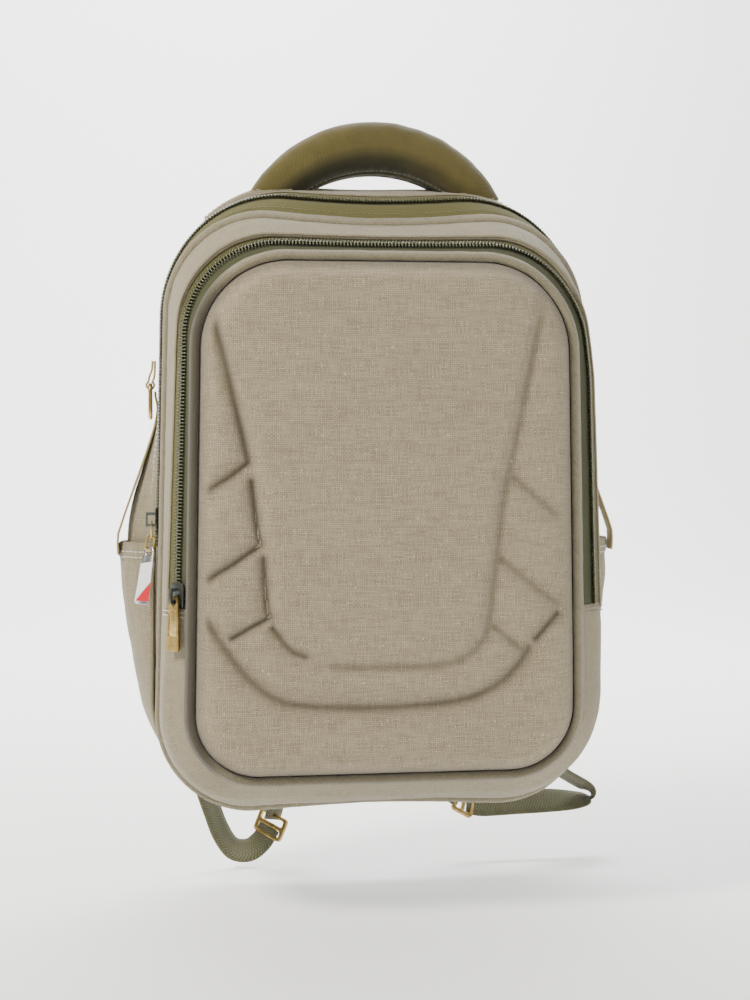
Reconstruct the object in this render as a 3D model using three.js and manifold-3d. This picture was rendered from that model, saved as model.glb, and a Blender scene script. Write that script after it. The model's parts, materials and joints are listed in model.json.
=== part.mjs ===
// A soft-sided flight bag worn as a backpack: a padded back, a main compartment, a front compartment under a
// moulded panel, two bottle pockets, a padded carry handle and two adjustable shoulder straps.
// Millimetres. +X is to the right of someone facing the bag, -Y is the front, +Z is up.
// While it is built, z = 0 is the base and y = 0 is the outer face of the back. At the end everything is
// moved so that the origin is the point under the carry handle where a hook holds the bag.
import * as THREE from "three";
import { mergeVertices } from "three/addons/utils/BufferGeometryUtils.js";
import Module from "manifold-3d";

const wasm = await Module();
wasm.setup();

// ---------------------------------------------------------------- driving sizes
const GAP = 0.3; // clearance between pieces that touch
const GUSSET = 2.6; // canvas, foam and lining together
const TAPE = 1.2; // zip tape
const CHAIN = 2.6; // thickness of a row of zip teeth
const CHAIN_STEP = 0.7; // how far the teeth stand out of the tape
const PIPING_R = 3.0;
const WEBBING = 1.6;
const WEBBING_WIDTH = 20;

// Cross-sections of the bag from the back to the front: rounded trapeziums, wider at the base.
// top and bottom are half widths, low and high the lowest and highest z, dip how far the top edge sags and
// belly how far the base does.
const SECTIONS = [
  { y: 0, top: 142, bottom: 148, low: 7, high: 440, rTop: 94, rBottom: 74, dip: 2, belly: 12 },
  { y: -9, top: 145, bottom: 151, low: 4, high: 443, rTop: 97, rBottom: 76, dip: 2, belly: 15 },
  { y: -40, top: 147, bottom: 153, low: 4, high: 446, rTop: 98, rBottom: 78, dip: 3, belly: 16 },
  { y: -66, top: 147, bottom: 153, low: 4, high: 440, rTop: 94, rBottom: 78, dip: 5, belly: 16 },
  { y: -80, top: 147, bottom: 153, low: 6, high: 432, rTop: 84, rBottom: 74, dip: 6, belly: 11 },
  { y: -91, top: 144, bottom: 150, low: 9, high: 419, rTop: 70, rBottom: 66, dip: 6, belly: 4 },
  { y: -106, top: 142, bottom: 149, low: 14, high: 412, rTop: 66, rBottom: 61, dip: 4, belly: 1 },
  { y: -119, top: 139, bottom: 147, low: 21, high: 404, rTop: 62, rBottom: 56, dip: 2, belly: 0 },
  { y: -138, top: 131, bottom: 137, low: 37, high: 387, rTop: 54, rBottom: 44, dip: 0, belly: 0 },
];

const Y_REAR_PIPING = -9;
const Y_MIDDLE_PIPING = -91;
const Y_FRONT_PIPING = -138;
const Z_MAIN_ZIP_END = 192; // the main zip runs over the top between these two ends
const Z_FRONT_ZIP_END = 152;
const Z_FLAP_HINGE = 172; // the moulded panel bends here when the front compartment opens
const Y_FLAP_HINGE = -153.5;
const MAIN_ZIP_Y = -73.5; // middle of the main zip's chain
const FRONT_ZIP_Y = -127.2;
const CHAIN_HALF_Y = 3.5; // half of a chain's width, measured along y
const CHAIN_SLIT = 1.2; // half of the slit between the two rows, where the slider's neck runs
const HANDLE_X = 5;
const HANDLE_Y = -44;
const HANDLE_HALF_SPAN = 80;
const HANDLE_FOOT_Z = 430;
const HANDLE_RISE = 42;
const HANDLE_R = 19; // half the grip's height
const HANDLE_HALF_DEPTH = 16;

// ---------------------------------------------------------------- colours
const colour = (hex, roughness, metalness = 0) =>
  new THREE.MeshStandardMaterial({ color: hex, roughness, metalness });
const CANVAS = colour(0xa59c87, 0.95);
const CANVAS_MOULDED = colour(0xa89f8d, 0.93);
const OLIVE_TAPE = colour(0x5d5c33, 0.9);
const ZIP_COIL = colour(0x3b3d2a, 0.5);
const KHAKI_WEBBING = colour(0xb39f5c, 0.85);
const OLIVE_WEBBING = colour(0x55573b, 0.85);
const HANDLE_CLOTH = colour(0x4f4216, 0.95);
const AIR_MESH = colour(0x4a4a3c, 0.95);
const LINING = colour(0x6b6350, 0.9);
const BOARD = colour(0x3a3a38, 0.8);
const BRONZE = colour(0x8a6c2c, 0.35, 1);
const GUNMETAL = colour(0x3c3e3a, 0.4, 1);
const SILVER = colour(0xd8d8d2, 0.25, 1);
const TAG_ENAMEL = colour(0xe9e9e6, 0.3);

// ---------------------------------------------------------------- solids
const bag = new THREE.Group();
function add(name, geometry, material) {
  const mesh = new THREE.Mesh(geometry, material);
  mesh.name = name;
  bag.add(mesh);
  return mesh;
}

const point = (x, y, z) => new THREE.Vector3(x, y, z);

// Joins equal closed loops of points, one after another, into a solid. Each loop has an even number of points,
// and a cap pairs its first point with its last, its second with its last but one, and so on.
function loft(loops, closed = false) {
  const size = loops[0].length;
  const index = [];
  const quad = (a, b, c, d) => index.push(a, b, c, a, c, d);
  const spans = closed ? loops.length : loops.length - 1;
  for (let i = 0; i < spans; i++) {
    const here = i * size;
    const there = ((i + 1) % loops.length) * size;
    for (let k = 0; k < size; k++) {
      const next = (k + 1) % size;
      quad(here + k, here + next, there + next, there + k);
    }
  }
  if (!closed) {
    const last = (loops.length - 1) * size;
    for (let k = 0; k < size / 2 - 1; k++) {
      quad(k, size - 1 - k, size - 2 - k, k + 1);
      quad(last + k, last + k + 1, last + size - 2 - k, last + size - 1 - k);
    }
  }
  const positions = loops.flat().flatMap((p) => [p.x, p.y, p.z]);
  const geometry = new THREE.BufferGeometry()
    .setAttribute("position", new THREE.Float32BufferAttribute(positions, 3))
    .setIndex(index);
  return facingOut(geometry);
}

// Turns every triangle round if the solid is inside out.
function facingOut(geometry) {
  const at = (i) => new THREE.Vector3().fromBufferAttribute(geometry.attributes.position, i);
  const index = Array.from(geometry.index.array);
  let volume = 0;
  for (let i = 0; i < index.length; i += 3) {
    const [a, b, c] = index.slice(i, i + 3).map(at);
    volume += a.dot(b.cross(c)) / 6;
  }
  return volume < 0 ? geometry.setIndex(index.reverse()) : geometry;
}

// A three.js geometry as a manifold-3d solid, and back.
function solid(geometry) {
  const bare = geometry.clone();
  bare.deleteAttribute("normal");
  bare.deleteAttribute("uv");
  const merged = mergeVertices(bare, 1e-4);
  return new wasm.Manifold(
    new wasm.Mesh({
      numProp: 3,
      vertProperties: new Float32Array(merged.attributes.position.array),
      triVerts: new Uint32Array(merged.index.array),
    }),
  );
}
function geometryOf(manifold) {
  const mesh = manifold.getMesh();
  return new THREE.BufferGeometry()
    .setAttribute("position", new THREE.BufferAttribute(mesh.vertProperties, 3))
    .setIndex(new THREE.BufferAttribute(mesh.triVerts, 1));
}
const cut = (geometry, tool) => geometryOf(solid(geometry).subtract(solid(tool)));
const keep = (geometry, tool) => geometryOf(solid(geometry).intersect(solid(tool)));
const join = (geometry, other) => geometryOf(solid(geometry).add(solid(other)));

function block(x, y, z) {
  const box = new THREE.BoxGeometry(x[1] - x[0], y[1] - y[0], z[1] - z[0]);
  return box.translate((x[0] + x[1]) / 2, (y[0] + y[1]) / 2, (z[0] + z[1]) / 2);
}
const FAR = 600;
const above = (z) => block([-FAR, FAR], [-FAR, FAR], [z, FAR]);
const below = (z) => block([-FAR, FAR], [-FAR, FAR], [-FAR, z]);

// A flat plate in the XZ plane, from its outline, between two depths.
function plate(outlinePoints, yFront, yBack) {
  const shape = new THREE.Shape(outlinePoints);
  const geometry = new THREE.ExtrudeGeometry(shape, { depth: yBack - yFront, bevelEnabled: false });
  return geometry.rotateX(Math.PI / 2).translate(0, yBack, 0);
}

// A rounded rectangle as points, centred at (x, z).
function roundedRectangle(x, z, width, height, radius, steps = 4) {
  const points = [];
  const corners = [[1, -1], [1, 1], [-1, 1], [-1, -1]];
  corners.forEach(([sx, sz], quarter) => {
    for (let i = 0; i <= steps; i++) {
      const a = ((quarter - 1 + i / steps) * Math.PI) / 2;
      points.push(
        new THREE.Vector2(
          x + sx * (width / 2 - radius) + radius * Math.cos(a),
          z + sz * (height / 2 - radius) + radius * Math.sin(a),
        ),
      );
    }
  });
  return points;
}

// ---------------------------------------------------------------- the bag's outline at any depth
const KEYS = ["top", "bottom", "low", "high", "rTop", "rBottom", "dip", "belly"];
function sectionAt(y) {
  const i = SECTIONS.findIndex((s) => s.y <= y);
  if (i <= 0) return { ...(i === 0 ? SECTIONS[0] : SECTIONS.at(-1)), y };
  const [a, b] = [SECTIONS[i - 1], SECTIONS[i]];
  const share = (y - a.y) / (b.y - a.y);
  return Object.fromEntries([["y", y], ...KEYS.map((k) => [k, a[k] + share * (b[k] - a[k])])]);
}

// How far a full main compartment swells out of each side at a depth and height.
const SWELL = { left: 12, right: 12, back: -12, front: -68, low: 40, middle: 190, high: 300 };
function swell(side, y, z) {
  const depth = (SWELL.back - y) / (SWELL.back - SWELL.front);
  const [from, to] = z < SWELL.middle ? [SWELL.low, SWELL.middle] : [SWELL.high, SWELL.middle];
  const height = (z - from) / (to - from);
  if (depth <= 0 || depth >= 1 || height <= 0) return 0;
  return SWELL[side] * Math.sin(Math.PI * depth) * Math.sin((Math.PI / 2) * Math.min(1, height)) ** 2;
}

const CORNER_STEPS = 6;
const SIDE_STEPS = 8;
const TOP_SHARES = [0.66, 0.33];
const BOTTOM_SHARES = [0.33, 0.66];

// Points (x, z) round the bag, starting just right of the middle of the base and going up the right side.
function outline(y, inset = 0) {
  const s = sectionAt(y);
  const [top, bottom, low, high] = [s.top - inset, s.bottom - inset, s.low + inset, s.high - inset];
  const [rTop, rBottom] = [Math.max(s.rTop - inset, 8), Math.max(s.rBottom - inset, 8)];
  const right = BOTTOM_SHARES.map((f) => [f * (bottom - rBottom), low]);
  const corner = (x, z, r, from) => {
    for (let i = 0; i <= CORNER_STEPS; i++) {
      const a = from + ((i / CORNER_STEPS) * Math.PI) / 2;
      right.push([x + r * Math.cos(a), z + r * Math.sin(a)]);
    }
  };
  corner(bottom - rBottom, low + rBottom, rBottom, -Math.PI / 2);
  const [sideLow, sideHigh] = [low + rBottom, high - rTop];
  for (let i = 1; i < SIDE_STEPS; i++) {
    const f = i / SIDE_STEPS;
    right.push([bottom + f * (top - bottom), sideLow + f * (sideHigh - sideLow)]);
  }
  corner(top - rTop, high - rTop, rTop, 0);
  TOP_SHARES.forEach((f) => right.push([f * (top - rTop), high]));
  const sagged = right.map(([x, z]) => {
    const height = Math.max(0, (z - (high - rTop)) / rTop);
    const nearMiddle = 0.5 + 0.5 * Math.cos(Math.PI * Math.min(1, x / (0.85 * top)));
    const base = z < low + rBottom && x < 120 ? Math.cos(((Math.PI / 2) * x) / 120) ** 2 : 0;
    return new THREE.Vector2(x, z - s.dip * nearMiddle * height - s.belly * base);
  });
  const left = sagged.map((p) => new THREE.Vector2(-p.x - swell("left", y, p.y), p.y)).reverse();
  return [...sagged.map((p) => new THREE.Vector2(p.x + swell("right", y, p.y), p.y)), ...left];
}
const ringPoints = (y, inset) => outline(y, inset).map((p) => point(p.x, y, p.y));

// A wall that follows the bag's outline all round between two depths. lift moves it outwards.
function wall(yBack, yFront, thickness, lift = 0) {
  const between = [...SECTIONS.map((s) => s.y), -24, -54].sort((a, b) => b - a);
  const depths = [yBack, ...between.filter((y) => y < yBack - 1 && y > yFront + 1), yFront];
  const outer = depths.map((y) => ringPoints(y, -lift));
  const inner = depths.map((y) => ringPoints(y, thickness - lift)).reverse();
  const rows = [...outer, ...inner];
  return loft(outer[0].map((_, k) => rows.map((row) => row[k])), true);
}

// A round cord sewn into the seam at one depth.
function piping(y, radius, sides = 6) {
  const ring = ringPoints(y, 0);
  const loops = ring.map((p, k) => {
    const before = ring.at(k - 1);
    const after = ring[(k + 1) % ring.length];
    const out = point(after.z - before.z, 0, before.x - after.x).normalize();
    return Array.from({ length: sides }, (_, i) => {
      const a = (2 * Math.PI * (i + 0.5)) / sides;
      return p.clone().addScaledVector(out, radius * Math.cos(a)).add(point(0, radius * Math.sin(a), 0));
    });
  });
  return loft(loops, true);
}

// A flat strip along a list of [centre, width direction] pairs.
function ribbon(stations, width, thickness) {
  const centres = stations.map(([c]) => c);
  return loft(
    stations.map(([centre, across], i) => {
      const along = centres[Math.min(i + 1, centres.length - 1)].clone().sub(centres[Math.max(i - 1, 0)]);
      const side = across.clone().normalize().multiplyScalar(width / 2);
      const face = along.cross(side).normalize().multiplyScalar(thickness / 2);
      return [
        centre.clone().add(side).add(face),
        centre.clone().add(side).sub(face),
        centre.clone().sub(side).sub(face),
        centre.clone().sub(side).add(face),
      ];
    }),
  );
}

// ---------------------------------------------------------------- main compartment and back
function mainCompartment() {
  add("back_panel", plate(outline(-4, PIPING_R + GAP), -9, 0), CANVAS);
  add("rear_piping", piping(Y_REAR_PIPING, PIPING_R), CANVAS);
  const gussetBack = Y_REAR_PIPING - PIPING_R - GAP;
  const tapeBack = MAIN_ZIP_Y + CHAIN_HALF_Y + 5;
  const tapeFront = Y_MIDDLE_PIPING + PIPING_R + GAP;
  add("main_gusset_upper", keep(wall(gussetBack, tapeBack, GUSSET), above(Z_MAIN_ZIP_END)), CANVAS);
  add("main_gusset_lower", keep(wall(gussetBack, tapeFront, GUSSET), below(Z_MAIN_ZIP_END - GAP)), CANVAS);
  const [chainBack, chainFront] = [MAIN_ZIP_Y + CHAIN_HALF_Y, MAIN_ZIP_Y - CHAIN_HALF_Y];
  zipHalf("main_zip", "rear", tapeBack - GAP, chainBack, MAIN_ZIP_Y + CHAIN_SLIT, Z_MAIN_ZIP_END);
  zipHalf("main_zip", "front", chainFront, tapeFront, MAIN_ZIP_Y - CHAIN_SLIT, Z_MAIN_ZIP_END);
  const boardTop = 9;
  add("base_board", block([-84, 84], [-76, -16], [boardTop - 2, boardTop]), BOARD);
  const sleeve = keep(plate(outline(-9, GUSSET + 2.2), -36, -31), above(boardTop + GAP));
  add("laptop_sleeve", keep(sleeve, below(319)), LINING);
  const strapPath = [
    [point(0, -10.4, 352), point(1, 0, 0)],
    [point(0, -11.2, 336), point(1, 0, 0)],
    [point(0, -24, 328), point(1, 0, 0)],
    [point(0, -34, 325), point(1, 0, 0)],
    [point(0, -37.6, 319), point(1, 0, 0)],
    [point(0, -37.6, 280), point(1, 0, 0)],
  ];
  add("sleeve_strap", ribbon(strapPath, 30, 1.6), OLIVE_WEBBING);
}

// One side of a zip, above its lower ends: a tape from yBack to yFront, and the teeth between the tape and the slit.
function zipHalf(zip, side, yBack, yFront, ySlit, zEnd, zChain = zEnd) {
  const rear = Math.abs(ySlit - yFront) < Math.abs(ySlit - yBack);
  const tape = rear ? [yBack, yFront + GAP] : [yBack - GAP, yFront];
  const chain = rear ? [yFront, ySlit] : [ySlit, yBack];
  add(`${zip}_tape_${side}`, keep(wall(...tape, TAPE, -0.4), above(zEnd + GAP)), OLIVE_TAPE);
  add(`${zip}_chain_${side}`, keep(wall(...chain, CHAIN, CHAIN_STEP), above(zChain + GAP)), ZIP_COIL);
}

// ---------------------------------------------------------------- front compartment
function frontCompartment() {
  const dividerEdge = outline(Y_MIDDLE_PIPING, PIPING_R + GAP);
  add("divider", plate(dividerEdge, Y_MIDDLE_PIPING - 1.5, Y_MIDDLE_PIPING + 1.5), LINING);
  add("middle_piping", piping(Y_MIDDLE_PIPING, PIPING_R), CANVAS);
  const gussetBack = Y_MIDDLE_PIPING - PIPING_R - GAP;
  const tapeBack = FRONT_ZIP_Y + CHAIN_HALF_Y + 4;
  const tapeFront = Y_FRONT_PIPING + PIPING_R + GAP;
  add("front_gusset_upper", keep(wall(gussetBack, tapeBack, GUSSET), above(Z_FRONT_ZIP_END)), CANVAS);
  add("front_gusset_lower", keep(wall(gussetBack, tapeFront, GUSSET), below(Z_FRONT_ZIP_END - GAP)), CANVAS);
  const [chainBack, chainFront] = [FRONT_ZIP_Y + CHAIN_HALF_Y, FRONT_ZIP_Y - CHAIN_HALF_Y];
  zipHalf("front_zip", "outer", tapeBack - GAP, chainBack, FRONT_ZIP_Y + CHAIN_SLIT, Z_FRONT_ZIP_END);
  zipHalf("front_zip", "inner", chainFront, tapeFront, FRONT_ZIP_Y - CHAIN_SLIT, Z_FLAP_HINGE);
  const pocket = plate(outline(-103, GUSSET + 1.5), -102.5, -100);
  add("organizer_pocket", keep(pocket, below(250)), LINING);
}

// The moulded foam panel: a shallow shell whose rim turns back to the seam, cut where it bends.
const PANEL_RIM = PIPING_R + 0.9; // how far inside the seam's outline the panel starts
// Depth and inset of each ring of the moulded panel.
const PANEL_STEPS = [[-136, 0], [-142, 0.5], [-147, 3.5], [-150, 12], [-152, 40], [-153, 75]];
const PANEL_WALL = 4;
function mouldedPanel() {
  const ring = (y, inset) => outline(Y_FRONT_PIPING, PANEL_RIM + inset).map((p) => point(p.x, y, p.y));
  const outside = loft(PANEL_STEPS.map(([y, inset]) => ring(y, inset)));
  const inner = ([y, inset]) => ring(y + (y === -136 ? 2 : PANEL_WALL), inset + PANEL_WALL);
  const inside = loft(PANEL_STEPS.map(inner));
  const shell = cut(outside, inside);
  const seam = piping(Y_FRONT_PIPING, PIPING_R);
  const [upper, lower] = [above(Z_FLAP_HINGE + GAP), below(Z_FLAP_HINGE - GAP)];
  add("front_panel_upper", keep(shell, upper), CANVAS_MOULDED);
  add("front_panel_lower", keep(shell, lower), CANVAS_MOULDED);
  add("front_piping_upper", keep(seam, upper), CANVAS);
  add("front_piping_lower", keep(seam, lower), CANVAS);
}

const BADGE = { x: -6, z: 296, width: 54, height: 9, y: -153.6, thickness: 1.8 };
function badge() {
  const shape = roundedRectangle(BADGE.x, BADGE.z, BADGE.width, BADGE.height, BADGE.height / 2 - 0.2, 5);
  add("badge", plate(shape, BADGE.y - BADGE.thickness, BADGE.y), SILVER);
}

// ---------------------------------------------------------------- bottle pockets and their straps
const POCKET = { back: -14, front: -67, low: 40, hem: 181, top: 192, steps: 8 };
const POCKET_BULGE = { left: 11, right: 12 }; // how far each pocket stands off the side at its top

// How far the bag's side wall is from the middle at a depth and height.
function sideX(side, y, z) {
  const ring = outline(y).filter((p) => (side === "left" ? p.x < 0 : p.x > 0));
  if (side === "left") ring.reverse();
  const i = ring.findIndex((p) => p.y >= z && Math.abs(p.x) > 60);
  const [a, b] = [ring[i - 1], ring[i]];
  return Math.abs(a.x + ((z - a.y) / (b.y - a.y)) * (b.x - a.x));
}

// The pocket's cloth at one height: an arc from the front edge to the back edge.
function pocketArc(side, z, offset) {
  const height = (z - POCKET.low) / (POCKET.top - POCKET.low);
  const bulge = POCKET_BULGE[side] * Math.sin((Math.PI / 2) * Math.pow(height, 0.8));
  const sign = side === "left" ? -1 : 1;
  return Array.from({ length: POCKET.steps + 1 }, (_, i) => {
    const f = i / POCKET.steps;
    const y = POCKET.front + f * (POCKET.back - POCKET.front);
    const x = sideX(side, y, z) + 3 * GAP + offset + bulge * Math.pow(Math.sin(Math.PI * f), 0.7);
    return point(sign * x, y, z);
  });
}
function pocketCloth(side, heights, inner, outer) {
  return loft(heights.map((z) => [...pocketArc(side, z, outer), ...pocketArc(side, z, inner).reverse()]));
}
function bottlePocket(side) {
  const heights = [POCKET.low, 50, 64, 84, 110, 145, POCKET.hem - GAP];
  add(`side_pocket_${side}`, pocketCloth(side, heights, 0.2, 2.2), CANVAS);
  add(`pocket_hem_${side}`, pocketCloth(side, [POCKET.hem, POCKET.top], 0, 2.8), CANVAS);
}

const RING = { z: 291, height: 26, width: 20, wire: 3, y: -46 };
const TAB = { halfWidth: 6.3, halfThickness: 4, hole: 2.7, standOff: 4.4 };
function sideTab(side) {
  const sign = side === "left" ? -1 : 1;
  const surface = Math.max(sideX(side, RING.y, RING.z - 20), sideX(side, RING.y, RING.z));
  const x = surface + TAB.standOff;
  const shape = new THREE.Shape(roundedRectangle(0, 0, RING.height, RING.width, 4));
  const inner = [RING.height - 2 * RING.wire, RING.width - 2 * RING.wire];
  shape.holes.push(new THREE.Path(roundedRectangle(0, 0, ...inner, 2.5)));
  const ring = new THREE.ExtrudeGeometry(shape, { depth: RING.wire, bevelEnabled: false });
  ring.translate(0, 0, -RING.wire / 2).rotateY(Math.PI / 2).translate(sign * x, RING.y, RING.z);
  add(`side_ring_${side}`, ring, BRONZE);
  const ringTop = RING.z + RING.height / 2;
  const across = [sign * x - TAB.halfThickness, sign * x + TAB.halfThickness];
  const fold = block(across, [RING.y - TAB.halfWidth, RING.y + TAB.halfWidth], [ringTop - 5, ringTop + 16]);
  const hole = new THREE.CylinderGeometry(TAB.hole, TAB.hole, 30, 16);
  const tab = cut(fold, hole.translate(sign * x, RING.y, ringTop - RING.wire / 2));
  add(`side_tab_${side}`, tab, KHAKI_WEBBING);
  const hemX = Math.max(...pocketArc(side, POCKET.top, 2.8).map((p) => Math.abs(p.x))) + 1.3;
  const stations = [
    [surface + 1.3, ringTop - 6],
    [surface + 1.5, RING.z - 16],
    [hemX - 3, POCKET.top + 14],
    [hemX, POCKET.top + 3],
    [hemX, POCKET.hem + 2],
  ];
  const strip = stations.map(([sx, z]) => [point(sign * sx, RING.y, z), point(0, 1, 0)]);
  add(`side_strap_${side}`, ribbon(strip, 12, WEBBING), KHAKI_WEBBING);
}

// ---------------------------------------------------------------- carry handle
// Centre line of the grip: a circular arch between its two feet.
const ARCH_R = (HANDLE_HALF_SPAN ** 2 + HANDLE_RISE ** 2) / (2 * HANDLE_RISE);
const ARCH_Z = HANDLE_FOOT_Z + HANDLE_RISE - ARCH_R;
const ARCH_HALF_ANGLE = Math.asin(HANDLE_HALF_SPAN / ARCH_R);
const ARCH_STEPS = 16;
function carryHandle() {
  const loops = Array.from({ length: ARCH_STEPS + 1 }, (_, i) => {
    const f = (2 * i) / ARCH_STEPS - 1;
    const a = f * ARCH_HALF_ANGLE;
    const out = point(Math.sin(a), 0, Math.cos(a));
    const centre = out.clone().multiplyScalar(ARCH_R).add(point(HANDLE_X, HANDLE_Y, ARCH_Z));
    const full = 1 - 0.3 * f * f; // the padding thins towards the feet
    return Array.from({ length: 10 }, (_, k) => {
      const b = (2 * Math.PI * (k + 0.5)) / 10;
      return centre
        .clone()
        .addScaledVector(out, HANDLE_R * full * Math.cos(b))
        .add(point(0, HANDLE_HALF_DEPTH * full * Math.sin(b), 0));
    });
  });
  const clear = cut(loft(loops), wall(-1, -75, 40, 6));
  add("handle_grip", clear, HANDLE_CLOTH);
  const ends = { left: [HANDLE_X - 108, HANDLE_X - 62], right: [HANDLE_X + 62, HANDLE_X + 108] };
  for (const [side, x] of Object.entries(ends)) {
    const patch = wall(HANDLE_Y + 12, HANDLE_Y - 12, 2, 2 + GAP);
    add(`handle_anchor_${side}`, keep(patch, block(x, [-FAR, FAR], [300, FAR])), KHAKI_WEBBING);
  }
}

// ---------------------------------------------------------------- shoulder straps on the back
const BACK_Y = GAP; // the first free depth behind the back panel
const PADS = [
  ["back_pad_left", -62, 268, 92, 190],
  ["back_pad_right", 62, 268, 92, 190],
  ["lumbar_pad", 0, 106, 200, 84],
];
function backPads() {
  for (const [name, x, z, width, height] of PADS) {
    const low = roundedRectangle(x, z, width, height, 18).map((p) => point(p.x, BACK_Y, p.y));
    const crown = roundedRectangle(x, z, width - 10, height - 10, 15);
    const high = crown.map((p) => point(p.x, BACK_Y + 7, p.y));
    const turned = (ring) => [...ring.slice(10), ...ring.slice(0, 10)];
    add(name, loft([turned(low), turned(high)]), AIR_MESH);
  }
  add("strap_yoke", plate(roundedRectangle(0, 398, 150, 44, 12), BACK_Y, BACK_Y + 3), CANVAS);
}

// Middle line of the left shoulder strap, from the yoke down, as [x, y, z, width].
const STRAP_LINE = [
  [-46, 7.5, 402, 58],
  [-50, 15, 372, 60],
  [-60, 17, 320, 62],
  [-72, 17, 260, 60],
  [-80, 17, 200, 56],
  [-80, 17, 150, 50],
  [-74, 17, 112, 42],
  [-68, 17, 88, 34],
];
const STRAP_THICK = 10;
const STRAP_PROFILE = [[1, 0.5], [0.8, 1], [-0.8, 1], [-1, 0.5], [-1, -0.5], [-0.8, -1], [0.8, -1], [1, -0.5]];
const mirrored = (side, x) => (side === "left" ? x : -x);

function shoulderStrap(side) {
  const loops = STRAP_LINE.map(([x, y, z, width], i) => {
    const [px, , pz] = STRAP_LINE[Math.max(i - 1, 0)];
    const [nx, , nz] = STRAP_LINE[Math.min(i + 1, STRAP_LINE.length - 1)];
    const along = new THREE.Vector2(nx - px, nz - pz).normalize();
    const thick = i === 0 ? 4 : STRAP_THICK;
    const corner = ([u, v]) => {
      const out = u * (width / 2);
      return point(mirrored(side, x - along.y * out), y + (v * thick) / 2, z + along.x * out);
    };
    return STRAP_PROFILE.map(corner);
  });
  add(`shoulder_strap_${side}`, loft(loops), CANVAS);
}

// Lower webbing. It leaves a tab on the base corner, hangs in a slack loop below the bag and comes up through
// the adjuster to the end of the shoulder strap. Each entry is [x, y, z] and the direction across the strip.
const LOOPS = {
  left: {
    corner: [-129, 1, 52],
    line: [
      [[-125, 7, 30], [0.5, 1, 0.2]],
      [[-119, 11, 8], [0.7, 1, 0.2]],
      [[-111, 14, -15], [0.8, 1, 0.4]],
      [[-104, 17, -34], [0.7, 1, 0.8]],
      [[-95, 18, -47], [0.3, 1, 1]],
      [[-83, 18, -49], [-0.2, 1, 1]],
      [[-73, 18, -42], [-0.6, 1, 0.8]],
    ],
    adjuster: [[-66, 17.5, -30], [-0.75, 0.9, 0.45]],
    tail: [
      [[-68, 17, 79.5], [1, 0, 0]],
      [[-63, 19, 50], [1, 0.3, 0]],
      [[-59, 19.5, 20], [0.8, 0.7, -0.2]],
      [[-60, 19, 0], [0.75, 0.9, -0.45]],
      [[-62, 18.5, -15], [0.75, 0.9, -0.45]],
    ],
  },
  right: {
    corner: [129, 1, 52],
    line: [
      [[133, 8, 33], [-0.5, 1, 0.4]],
      [[143, 12, 17], [-0.4, 1, -0.3]],
      [[162, 16, 3], [-0.3, 1, -0.4]],
      [[181, 18, -9], [-0.2, 1, -0.4]],
      [[185, 19, -17], [0.5, 1, 0]],
      [[174, 20, -19], [0, 1, 0.5]],
      [[150, 21, -19], [0, 0.8, 1]],
      [[120, 22, -20], [0, 0.7, 1]],
      [[97, 21, -20], [0, 0.6, 1]],
    ],
    adjuster: [[84, 20, -16], [-0.45, 0.6, 0.9]],
    tail: [
      [[68, 17, 79.5], [1, 0, 0]],
      [[67, 19, 55], [1, 0, 0.2]],
      [[66, 20, 30], [0.9, 0.3, 0.3]],
      [[68, 20, 8], [0.6, 0.5, 0.6]],
      [[74, 20, -7], [0.45, 0.6, 0.8]],
    ],
  },
};

// Stations of a strip, closer together than the entries, on a smooth curve through them.
function stationsOf(line, parts = 3) {
  const curve = new THREE.CatmullRomCurve3(line.map(([c]) => point(...c)), false, "centripetal");
  const last = line.length - 1;
  return Array.from({ length: last * parts + 1 }, (_, i) => {
    const from = Math.min(Math.floor(i / parts), last - 1);
    const across = point(...line[from][1]).lerp(point(...line[from + 1][1]), i / parts - from);
    return [curve.getPoint(i / (last * parts)), across];
  });
}

// A three-bar slide: a rectangular wire frame with a bar across its middle.
function adjuster() {
  const shape = new THREE.Shape(roundedRectangle(0, 0, 28, 18, 3));
  for (const z of [-4, 4]) shape.holes.push(new THREE.Path(roundedRectangle(0, z, 22.4, 5, 1, 2)));
  return new THREE.ExtrudeGeometry(shape, { depth: 2.6, bevelEnabled: false }).translate(0, 0, -1.3);
}

function lowerStrap(side) {
  const { corner, line, adjuster: slide, tail } = LOOPS[side];
  const [at, across] = slide.map((v) => point(...v));
  const before = point(...line.at(-1)[0]);
  const along = point(...tail.at(-1)[0]).sub(before).normalize();
  const face = across.clone().cross(along).normalize();
  const sideways = along.clone().cross(face).normalize();
  const basis = new THREE.Matrix4().makeBasis(sideways, along, face).setPosition(at);
  const mesh = add(`adjuster_${side}`, adjuster(), BRONZE);
  mesh.applyMatrix4(basis);
  const clearance = new THREE.BoxGeometry(30, 19.6, 4.4).applyMatrix4(basis);
  const strip = (entries) => cut(ribbon(stationsOf(entries), WEBBING_WIDTH, WEBBING), clearance);
  add(`strap_webbing_${side}`, strip(line), OLIVE_WEBBING);
  add(`strap_tail_${side}`, strip(tail), OLIVE_WEBBING);
  const tab = [
    [point(corner[0] + mirrored(side, 8), corner[1] + BACK_Y, corner[2] + 22), point(1, 0, 0)],
    [point(...corner).add(point(0, BACK_Y, 0)), point(1, 0, 0)],
    [point(line[0][0][0], 4.5, line[0][0][2] + 2), point(1, 0, mirrored(side, 0.3))],
  ];
  add(`corner_tab_${side}`, cut(ribbon(tab, 24, 2), ribbon(stationsOf(line), 22, 3)), KHAKI_WEBBING);
}

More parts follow.
